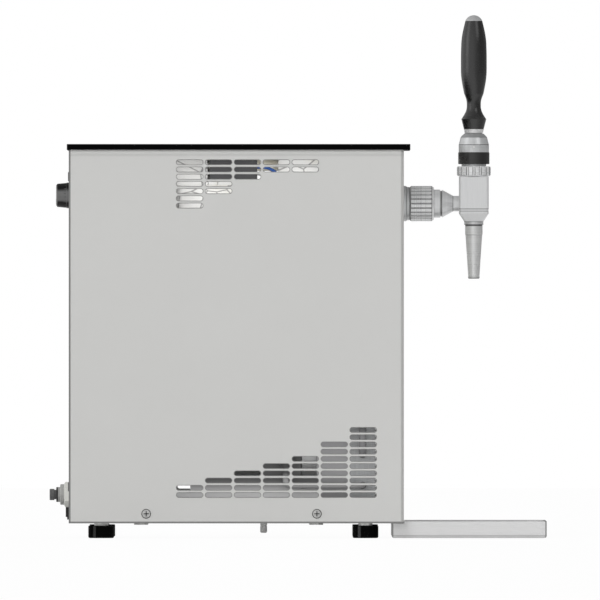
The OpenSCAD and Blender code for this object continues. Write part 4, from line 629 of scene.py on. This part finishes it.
# Painted shade darkens the knob's top and bottom faces
addLayer(materialOf("thermostat_knob"),
    lambda vector, before: foldShade(vector, before, knobTopAndBottomShade, rgba("knobShade")))
print("finishes given to", sum(1 for n in nodes.values() if n.data.materials), "nodes")


# Surfaces, each worked out as whole arrays: a grid of points in millimetres and the quads between them

def unit(v):
    return v / np.linalg.norm(v, axis=-1, keepdims=True)


def around(steps):
    # Angles once round, the last one short of the first
    return np.linspace(0, 2 * np.pi, steps, endpoint=False)


def xyz(x, y, z):
    # Points from three arrays or numbers, each spread over the others' grid
    return np.stack(np.broadcast_arrays(x, y, z), -1)


def gridFaces(rows, columns, wrapRows=False, wrapColumns=True):
    # Quads between neighbours of a grid of points, closed round where asked
    i, j = np.meshgrid(np.arange(rows if wrapRows else rows - 1),
        np.arange(columns if wrapColumns else columns - 1), indexing="ij")
    i, j = i.ravel(), j.ravel()
    k, m = (i + 1) % rows, (j + 1) % columns
    return np.stack((i * columns + j, k * columns + j, k * columns + m, i * columns + m), 1)


def closedRings(rings):
    # Rings of points joined in a row, with each end drawn in to its middle
    ends = [rings[k].mean(0) * np.ones((1, rings.shape[1], 3)) for k in (0, -1)]
    return np.concatenate((ends[0], rings, ends[1])), gridFaces(len(rings) + 2, rings.shape[1])


def flatBar(centre, along, across, depth):
    # Box about a centre, its three half lengths as vectors, with a ring of four points at each end
    signs = np.array(((-1,), (1,))), np.array((-1, 1, 1, -1)), np.array((-1, -1, 1, 1))
    return closedRings(centre + sum(s[..., None] * np.array(half) for s, half in zip(signs, (along, across, depth))))


def repeated(points, faces, places):
    # The same small surface at every place, in one pair of arrays
    points, places = points.reshape(-1, 3), np.asarray(places, float)
    moved = places[:, None] + points[None]
    numbered = faces[None] + np.arange(len(places))[:, None, None] * len(points)
    return moved.reshape(-1, 3), numbered.reshape(-1, faces.shape[1])


def addPiece(name, parts, material, body, hides=(), sharp=32.0, shadeMask=None):
    # Joins the parts in one mesh, in metres, and lets it ride a body; the last argument is a mask of painted shade
    # for each point
    flat = [points.reshape(-1, 3) for points, faces in parts]
    starts = np.cumsum([0] + [len(points) for points in flat])
    faces = np.concatenate([part[1] + start for part, start in zip(parts, starts)])
    mesh = bpy.data.meshes.new(name)
    mesh.from_pydata((np.concatenate(flat) * 0.001).tolist(), [], faces.tolist())
    if shadeMask is not None:
        layer = mesh.attributes.new("shadeMask", "FLOAT", "POINT")
        layer.data.foreach_set("value", shadeMask.ravel().astype(np.float32))
    clean = bmesh.new()
    clean.from_mesh(mesh)
    bmesh.ops.remove_doubles(clean, verts=clean.verts, dist=2e-6)
    bmesh.ops.recalc_face_normals(clean, faces=clean.faces)
    clean.to_mesh(mesh)
    clean.free()
    mesh.polygons.foreach_set("use_smooth", np.ones(len(mesh.polygons), bool))
    mesh.set_sharp_from_angle(angle=math.radians(sharp))
    mesh.materials.append(material)
    piece = bpy.data.objects.new(name, mesh)
    bpy.context.collection.objects.link(piece)
    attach(piece, body)
    if hides:
        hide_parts(*hides)


def turned(profile, steps):
    # Point (s, a): the profile's radius r(s) at angle a and height z(s)
    profile, a = np.asarray(profile, float), around(steps)
    radius, height = profile[:, :1], profile[:, 1:]
    return xyz(radius * np.cos(a), radius * np.sin(a), height), gridFaces(len(profile), steps)


def roundedRoute(corners, bend, steps=8):
    # Straight runs; each inner corner is the curve c + (1-t)^2 b + t^2 a, from one bend before it to one after
    p = np.asarray(corners, float)
    before, after = unit(p[:-2] - p[1:-1]) * bend, unit(p[2:] - p[1:-1]) * bend
    t = np.linspace(0, 1, steps)[None, :, None]
    curves = p[1:-1, None] + (1 - t) ** 2 * before[:, None] + t ** 2 * after[:, None]
    return np.concatenate((p[:1], curves.reshape(-1, 3), p[-1:]))


def swept(path, radius, sides=12, closed=False):
    # Point (s, a): path(s) + radius * (cos a * across + sin a * up), where both stand across the path
    ahead = unit(np.roll(path, -1, 0) - np.roll(path, 1, 0) if closed else np.gradient(path, axis=0))
    across = unit(np.cross(np.array((0.37, 0.54, 0.757)), ahead))
    up = np.cross(ahead, across)
    a = around(sides)[None, :, None]
    tube = path[:, None] + radius * (np.cos(a) * across[:, None] + np.sin(a) * up[:, None])
    return (tube, gridFaces(len(tube), sides, True)) if closed else closedRings(tube)


# Pipes, hoses and wires: the same routes as the solids, on smooth curves

pipes = {
    "suction": {"radius": 3.2, "bend": 9, "route": [(12.38, 0, 348.05), (12.38, 0, 362), (12.38, 73, 362),
        (12.38, 73, 180), (-87.425, 38, 180), (-87.425, 38, 150.05)]},
    "discharge": {"radius": 3, "bend": 8, "route": [(-43.425, 38, 150.05), (-43.425, 38, 171),
        (-43.425, 92, 171), (62.475, 92, 171), (62.475, 80.05, 171)]},
    "liquid": {"radius": 3, "bend": 6, "route": [(-12.075, -90, 60.95), (-12.075, -90, 51),
        (62.475, -90, 51), (62.475, -80.05, 51)]},
    "capillary": {"radius": 1.5, "bend": 3, "route": [(-12.075, -90, 143.05), (-12.075, -90, 171),
        (-12.075, -30, 180), (12.38, 0, 180), (12.38, 0, 185.95)]},
    "inlet": {"radius": 4, "bend": 9, "route": [(-199.975, -55, 42), (-186.025, -55, 42),
        (-186.025, -55, 172), (-71.43, -30, 172), (-71.43, 0, 172), (-71.43, 0, 185.95)]},
    "outlet": {"radius": 6, "bend": 9, "route": [(-71.43, 0, 348.05), (-71.43, 0, 362), (-101.43, 0, 362),
        (-101.43, -42, 362), (56.475, -42, 362), (56.475, 0, 362), (56.475, 0, 324.4), (70.425, 0, 324.4)]},
}
coils = {"centreX": -29.525, "ring": 41.7, "tube": 3, "low": 217, "pitch": 13.954, "turns": 6,
    "lowEnd": 186, "highEnd": 348, "turnIn": 5}
drier = {"place": (-12.075, -90, 0), "profile": [(0, 61), (3, 61), (3.2, 67), (5, 70.5), (8.2, 73), (9, 76),
    (9, 80), (8.6, 81), (8.6, 83), (9, 84), (9, 120), (8.6, 121), (8.6, 123), (9, 124), (9, 128), (8.2, 131),
    (5, 133.5), (3.2, 137), (3, 143), (0, 143)]}
wires = {"radius": 1.4, "bend": 6, "apart": 5,
    "route": [(-39.475, -87.3, 359.1), (-27.525, -87.3, 359.1), (-15.525, -87.3, 349.1), (-19.525, -87.3, 210),
        (-27.525, -87.3, 150), (-57.425, -73.8, 140), (-57.425, -73.8, 116.05)],
    "shift": [(0, 1, 0), (0, 1, 0), (0, 1, -1), (1, 1, 0), (0, 1, 0), (1, 1, 0), (1, 1, 0)]}


def pipe(name, sides=14):
    values = pipes[name]
    return swept(roundedRoute(values["route"], values["bend"], 10), values["radius"], sides)


def coil(startAngle):
    # Helix (R cos a, R sin a, low + pitch a / 2 pi), joined to an upright lead at each end by a short curve
    ring, top = coils["ring"], coils["low"] + coils["pitch"] * coils["turns"]
    lead = coils["turnIn"] / ring
    a = np.linspace(lead, 2 * np.pi * coils["turns"] - lead, coils["turns"] * 48)

    def at(angle, z):
        turn = startAngle + angle
        return xyz(coils["centreX"] + ring * np.cos(turn), ring * np.sin(turn), z)

    helix = at(a, coils["low"] + coils["pitch"] * a / (2 * np.pi))
    corners, ends = at(0, np.array((coils["low"], top))), at(0, np.array((coils["lowEnd"], coils["highEnd"])))
    t = np.linspace(0, 1, 8)[:, None]
    rise = np.array((0, 0, coils["turnIn"]))
    foot = corners[0] - (1 - t) ** 2 * rise + t ** 2 * (helix[0] - corners[0])
    head = corners[1] + (1 - t) ** 2 * (helix[-1] - corners[1]) + t ** 2 * rise
    return swept(np.concatenate((ends[:1], foot[:-1], helix, head[1:], ends[1:])), coils["tube"])


def wire(offset):
    # From the control box down to the relay, its corners shifted by the offset from the first lead's
    route = np.array(wires["route"]) + offset * np.array(wires["shift"])
    return swept(roundedRoute(route, wires["bend"]), wires["radius"], 8)


def addPipes():
    can, canFaces = turned(drier["profile"], 32)
    drierParts = [(can + np.array(drier["place"]), canFaces), pipe("liquid"), pipe("capillary", 10)]
    for name, node, parts in (("suctionPipe", "suction_line", [pipe("suction")]),
            ("dischargePipe", "discharge_line", [pipe("discharge")]),
            ("drierAndCapillary", "filter_drier", drierParts),
            ("coldCoil", "evaporator_coil", [coil(0.0)]), ("drinkCoil", "product_coil", [coil(np.pi)]),
            ("inletTube", "inlet_hose", [pipe("inlet")]), ("outletSleeve", "outlet_hose", [pipe("outlet", 18)]),
            ("blueLead", "blue_wire", [wire(0)]), ("brownLead", "brown_wire", [wire(wires["apart"])])):
        addPiece(name, parts, materialOf(node), "root", [node])


addPipes()
print("pipes, hoses and wires laid")


# Fan with twisted blades, and the condenser's fine fins

fan = {"x": 15.925, "z": 111, "hub": 14, "tip": 59.4, "rootIn": 1.5, "chord": 33, "count": 5, "rootPitch": 30,
    "tipPitch": 21, "thick": 1.5, "camber": 2.2, "sweep": 12, "hubProfile": [(3.2, -9), (12.6, -9), (13.6, -8.6),
    (14, -7.6), (14, 8.4), (13.7, 9), (12.8, 9), (12.4, 7.8), (6.2, 7.8), (5.8, 9), (3.2, 9), (3.2, -9)]}
fins = {"count": 60, "halfWidth": 76.5, "x0": 50.6, "x1": 74.4, "z0": 36.6, "z1": 185.4, "wave": 0.32,
    "waves": 3.5, "thick": 0.24}


def fanBlade(turn):
    # Point (u, s): out along the blade by u; round its thin section by s, with chord cos s and thickness sin s,
    # twisted from the root's pitch to the tip's
    u = np.linspace(0, 1, 14)[:, None]
    s = around(24)[None]
    root = fan["hub"] - fan["rootIn"]
    out = root + u * (fan["tip"] - root)
    chord = fan["chord"] * (0.78 + 0.3 * np.sin(np.pi * (0.15 + 0.7 * u))) * np.sqrt(np.clip(1.04 - u ** 8, 0.05, 1))
    pitch = np.radians(fan["rootPitch"] + (fan["tipPitch"] - fan["rootPitch"]) * u)
    along = 0.5 * chord * np.cos(s)
    lift = 0.5 * fan["thick"] * np.sin(s) + fan["camber"] * (1 - np.cos(s) ** 2) * (0.4 + 0.6 * u)
    angle = turn + np.radians(fan["sweep"]) * u ** 2 + (along * np.cos(pitch) - lift * np.sin(pitch)) / out
    x = fan["x"] + along * np.sin(pitch) + (lift - 0.5 * fan["camber"]) * np.cos(pitch)
    return closedRings(xyz(x, out * np.cos(angle), fan["z"] + out * np.sin(angle)))


def addFan():
    hub, hubFaces = turned(fan["hubProfile"], 64)
    hub = hub[..., [2, 0, 1]] + np.array((fan["x"], 0, fan["z"]))
    blades = [fanBlade(turn) for turn in around(fan["count"])]
    addPiece("twistedFan", [(hub, hubFaces)] + blades, materialOf("fan_blades"), "fan", ["fan_blades"])


def addFins():
    # Each fin is a thin upright sheet whose section is y = wave sin(k x), repeated across the core
    x = np.linspace(fins["x0"], fins["x1"], 22)
    y = fins["wave"] * np.sin(2 * np.pi * fins["waves"] * (x - x[0]) / (x[-1] - x[0]))
    near, far = y - fins["thick"] / 2, y + fins["thick"] / 2
    height = np.array(((fins["z0"],), (fins["z1"],)))
    sheet = xyz(np.concatenate((x, x[::-1])), np.concatenate((near, far[::-1])), height)
    places = xyz(0, np.linspace(-fins["halfWidth"], fins["halfWidth"], fins["count"]), 0)
    addPiece("fineFins", [repeated(sheet, gridFaces(2, 2 * len(x)), places)], materialOf("condenser_fins"), "root")


addFan()
addFins()
print("fan and fins shaped")


# Fluted nuts: each chamfer is (how far in, how far along), and the lines are bands of painted shade at places along
# the axis

fluting = {
    "coupling": {"node": "coupling_nut", "place": (108.275, 0, 324.4), "length": 23.7, "radius": 17.15, "count": 24,
        "half": 0.8, "deep": 0.7, "start": -2.0, "end": 26.0, "bore": 13.9, "inner": 15.4, "step": 1.7,
        "lowChamfer": (1.5, 1.5), "highChamfer": (1.6, 2.2), "darkAt": 0.9, "dark": 0.62, "axis": alongX,
        "centre": shankAxis, "lines": [(-0.0107, 0.0006, 0.6), (0.0099, 0.0006, 0.6)]},
    "collar": {"node": "collar_nut", "place": (170.875, 0, 351.1), "length": 9.5, "radius": 16.5, "count": 16,
        "half": 1.25, "deep": 0.95, "start": -2.0, "end": 11.5, "bore": 12.2, "inner": 13.5, "step": 1.8,
        "lowChamfer": (0.9, 1.1), "highChamfer": (0.9, 1.1), "darkAt": 0.42, "dark": 0.85, "axis": upward,
        "centre": tapAxis, "lines": []},
}
nutFoot = 0.1


def flutedSide(values):
    # Point (s, a): the smaller of the turned profile R(s) and radius - deep * groove(a), where the groove is
    # round across its width and runs out in a ball end, or through the chamfers where it is longer than the nut
    length, outer, half = values["length"], values["radius"], values["half"]
    lowIn, lowAlong = values["lowChamfer"]
    highIn, highAlong = values["highChamfer"]
    corners = np.array([(outer - lowIn, nutFoot), (outer, lowAlong), (outer, length - highAlong),
        (outer - highIn, length)])
    z = np.unique(np.concatenate((np.linspace(0, length, 61), corners[:, 1])))
    radius = np.interp(z, corners[:, 1], corners[:, 0])
    a = around(values["count"] * 22)
    across = np.abs((a * values["count"] / (2 * np.pi) + 0.5) % 1 - 0.5) * 2 * np.pi * outer / values["count"]
    middle, reach = (values["start"] + values["end"]) / 2, (values["end"] - values["start"]) / 2
    past = np.clip((np.abs(z - middle) - reach + half) / half, 0, 1)
    width = half * np.sqrt(1 - past ** 2)[:, None]
    groove = np.sqrt(np.clip(1 - (across[None] / np.maximum(width, 1e-3)) ** 2, 0, 1)) * (width / half)
    side = np.minimum(radius[:, None], outer - values["deep"] * groove)
    points = xyz(side * np.cos(a), side * np.sin(a), z[:, None])
    return points, groove * (side < radius[:, None] - 0.01)


def flutedSteel(name, values):
    # Turned stainless with painted shade in its flutes, from the mask kept on the mesh
    def makeLayer(vector, before):
        mask = addNode(vector.id_data, "Attribute", attribute_name="shadeMask").outputs["Fac"]
        return addBlend(addRange(mask, 0.05, 0.75, 0.0, values["dark"]), before, rgba("flutes"))
    steel = turnedSteel(name, "nut", values["axis"], values["centre"], 0.3, 0.55, values["lines"], 0.4)
    return addLayer(steel, makeLayer)


def addFlutedNut(name, values):
    side, groove = flutedSide(values)
    length, step, bore, inner = values["length"], values["step"], values["bore"], values["inner"]
    hole = turned([(bore, length), (bore, length - step), (inner, length - step), (inner, nutFoot)], side.shape[1])[0]
    # Painted shade in the flutes, strongest at the depth given by darkAt
    flank = np.clip(1.2 - 2.6 * np.abs(groove - values["darkAt"]), 0, 1) * (groove > 0.02)
    shadeMask = np.concatenate((flank, np.zeros(hole.shape[:2])))
    points = np.concatenate((side, hole))
    points = (points[..., [2, 0, 1]] if values["axis"] == alongX else points) + np.array(values["place"])
    addPiece(name, [(points, gridFaces(*points.shape[:2], True))], flutedSteel(name + "Steel", values), "root",
        [values["node"]], 40.0, shadeMask)


for nutName, nutValues in fluting.items():
    addFlutedNut(nutName + "Flutes", nutValues)
print("fluted nuts turned")


# Pressed lips of the vent slots, and the tray's rolled hem, both in dark colours that are painted shade along the
# edges they follow

vents = {"x": -117.725, "pitchX": 28, "pitchZ": 7, "low": 41.9, "high": 364.1, "length": 25.6, "height": 4.6,
    "lowCounts": [2, 3, 4, 5, 6, 8, 10], "highCounts": [7, 5, 3, 2, 2, 0, 0], "wallY": 107.5, "lipSteps": 32,
    "section": [(-0.05, -0.95), (-0.12, -0.1), (-0.1, 0.1), (0.12, 0.2), (0.38, 0.14), (0.5, -0.02)]}
tray = {"x0": 103.3, "x1": 240.3, "halfWidth": 89.35, "z": 15.75, "corner": 2.4, "radius": 0.5}


def slotPlaces():
    # Column by column, the lower field's rows upwards and the upper one's downwards
    return np.array([(vents["x"] + column * vents["pitchX"], 0, vents[field] + row * way * vents["pitchZ"])
        for field, way in (("low", 1), ("high", -1))
        for column, rows in enumerate(vents[field + "Counts"]) for row in range(rows)])


def slotLip(side):
    # Point (a, k): the slot's outline at angle a, moved outwards and off the wall by step k of the lip's section
    a = around(vents["lipSteps"])[:, None] + np.pi / vents["lipSteps"]
    straight = (vents["length"] - vents["height"]) / 2
    section = np.array(vents["section"], float)
    reach = vents["height"] / 2 + section[None, :, 0]
    x = vents["length"] / 2 + np.sign(np.cos(a)) * straight + reach * np.cos(a)
    return xyz(x, side * (vents["wallY"] + section[None, :, 1]), reach * np.sin(a))


def addVentLips():
    faces = gridFaces(vents["lipSteps"], len(vents["section"]), True, False)
    lips = [repeated(slotLip(side), faces, slotPlaces()) for side in (-1, 1)]
    # The lips are dark grey, painted shade round each slot
    lipShadePaint = coatedSheet("slotLipShadePaint", "lipShade", "lipEdge", 0.5, 0.1, 0.2)
    addPiece("ventLips", lips, lipShadePaint, "root", (), 50.0)


def addTrayHem():
    # The hem is dark steel, painted shade along the tray's top edge
    x0, x1, y, z = tray["x0"], tray["x1"], tray["halfWidth"], tray["z"]
    path = roundedRoute([(x0, -y, z), (x1, -y, z), (x1, y, z), (x0, y, z)], tray["corner"], 10)
    hemShade = satinSteel("hemShadeSteel", "hemShade", "Z", 0.4, 0.5, 0.1)
    addPiece("trayHem", [swept(path, tray["radius"], 10)], hemShade, "tray")


addVentLips()
addTrayHem()
print("slot lips and tray hem added")


# Sheets beside the compressor, foam rims round the cap, and painted shade at the screws' heads; each rim is (x0, x1,
# side, high)

lining = {
    "sheet": {"x0": -104.5, "low": 16.4, "bend": 3, "thick": 0.7, "tabX": -126, "tabHigh": 45.6},
    "shield": {"x1": 49, "y": 96.2, "foot": 84, "high": 176}, "kick": {"x1": 19.5, "y": -82, "foot": -70, "high": 61},
    "guard": {"x0": -36, "x1": 3.2, "profile": [(-81.3, 52), (-80.45, 62), (-80.45, 84)]},
}
foam = {"y": 60.3, "thick": 3.2, "low": 342.1, "rims": [(-119, -87.5, -1, 368), (-19.5, 48, -1, 368),
    (-119, -47, 1, 368), (-19.5, 6.5, 1, 368), (-87.2, -78, -1, 345.7)]}
screws = {"x": [-147.025, 18.275], "z": 23.7, "wallY": 107.5, "ring": 4.15, "tube": 0.42, "ringOut": 0.2,
    "halfLong": 2.6, "halfWide": 0.4, "halfDeep": 0.02, "crossOut": 0.91, "rearX": -222.025, "rearY": 95.5,
    "rearZ": [49.7, 350.2]}


def bentSheet(profile, x0, x1):
    # Point (s, e): the profile p(s) in Y and Z carried along X, pushed out by half the sheet's thickness either way
    sheet = lining["sheet"]
    p = roundedRoute([(0, y, z) for y, z in profile], sheet["bend"])
    ahead = unit(np.gradient(p, axis=0))
    out = xyz(ahead[:, 0], -ahead[:, 2], ahead[:, 1]) * sheet["thick"] / 2
    edges = [(x0, 1), (x1, 1), (x1, -1), (x0, -1)]
    return closedRings(np.stack([p + side * out + np.array((x, 0, 0)) for x, side in edges], 1))


def standingPlate(values):
    # A plate that stands on the pan, and a low tab that carries it on towards the rear
    sheet = lining["sheet"]
    foot = [(values["foot"], sheet["low"]), (values["y"], sheet["low"])]
    return [bentSheet(foot + [(values["y"], values["high"])], sheet["x0"], values["x1"]),
        bentSheet(foot + [(values["y"], sheet["tabHigh"])], sheet["tabX"], sheet["x0"])]


def foamRim(x0, x1, side, high):
    # Point (s, a): a slab with round corners, x = middle + half |cos a|^0.2 and y by |sin a|^0.5 in the same way,
    # drawn in at its top, whose top edge waves a little
    a, level = around(64)[None], np.linspace(0, 1, 12)[:, None]
    c, d, drawn = np.cos(a), np.sin(a), level ** 10
    x = (x0 + x1) / 2 + (x1 - x0) / 2 * np.sign(c) * np.abs(c) ** 0.2 * (1 - 0.02 * drawn)
    y = side * foam["y"] + foam["thick"] / 2 * np.sign(d) * np.abs(d) ** 0.5 * (1 - 0.25 * drawn)
    top = high - 0.8 * np.sin(x * 0.11) - 0.5 * np.sin(x * 0.31)
    return closedRings(xyz(x, y, foam["low"] + (top - foam["low"]) * level))


def addLining():
    guard = lining["guard"]
    # The shield and kick plate are paler towards the pan, painted light off it
    shieldZinc = paleBelow(zincPlate("shieldZinc", "shield", 0.2), 0.075, 0.035, 0.9, "shieldLitFoot")
    kickPaint = paleBelow(coatedSheet("kickPaint", "kick", "kickEdge"), 0.0575, 0.04, 1.0, "kickLitFoot")
    addPiece("compressorShield", standingPlate(lining["shield"]), shieldZinc, "root")
    addPiece("panKickPlate", standingPlate(lining["kick"]) + [bentSheet(guard["profile"], guard["x0"], guard["x1"])],
        kickPaint, "root")
    rims = [foamRim(*values) for values in foam["rims"]]
    addPiece("foamRims", rims, materialOf("insulation_cap"), "root", (), 50.0)


def addScrewShadeMarks():
    # Painted shade: a dark ring where each head meets the sheet, and a dark cross in its recess
    def onScrews(shape, faces, out):
        sides = [(x, side * (screws["wallY"] + out), screws["z"]) for side in (-1, 1) for x in screws["x"]]
        rear = [(screws["rearX"] - out, side * screws["rearY"], z) for side in (-1, 1) for z in screws["rearZ"]]
        return [repeated(shape, faces, sides), repeated(shape[..., [1, 0, 2]], faces, rear)]

    a = around(40)
    circle = screws["ring"] * xyz(np.cos(a), 0, np.sin(a))
    parts = onScrews(*swept(circle, screws["tube"], 8, True), screws["ringOut"])
    arm, armFaces = flatBar(0, (screws["halfLong"], 0, 0), (0, 0, screws["halfWide"]), (0, screws["halfDeep"], 0))
    for shape in (arm, arm[..., [2, 1, 0]]):
        parts += onScrews(shape, armFaces, screws["crossOut"])
    addPiece("screwShadeMarks", parts, zincPlate("recessShade", "recess"), "root")


addLining()
addScrewShadeMarks()
print("lining and screw recesses added")


# Rear knob's pointer and the plain marks round it; the pointer is (inner, outer, width, how proud)

dial = {"x": -222.025, "z": 332.4, "faceX": -235.05, "inner": 15.4, "outer": 18.4, "marks": 11, "sweep": 270,
    "width": 0.8, "proud": 0.16, "sunk": 0.04, "pointer": (5.2, 10.6, 1.4, 0.2)}


def radialBar(angle, inner, outer, width, proud, x):
    # Flat bar from one radius to another on a plane across X, standing a little proud of it
    out, side, sunk = xyz(0, np.sin(angle), np.cos(angle)), xyz(0, np.cos(angle), -np.sin(angle)), dial["sunk"]
    centre = xyz(x + (sunk - proud) / 2, 0, dial["z"]) + out * (inner + outer) / 2
    return flatBar(centre, out * (outer - inner) / 2, side * width / 2, ((sunk + proud) / 2, 0, 0))


def addDial():
    pointerWhite, markBlack = [mouldedPlastic(name, colour, 0.5, 0.3, grainDepth=0.00002)
        for name, colour in (("dialWhite", "pointer"), ("dialBlack", "mark"))]
    span = np.radians(np.linspace(-dial["sweep"] / 2, dial["sweep"] / 2, dial["marks"]))
    marks = [radialBar(a, dial["inner"], dial["outer"], dial["width"], dial["proud"], dial["x"]) for a in span]
    addPiece("dialMarks", marks, markBlack, "root")
    addPiece("knobPointer", [radialBar(span[0], *dial["pointer"], dial["faceX"])], pointerWhite, "knob")


addDial()
print("dial marked")
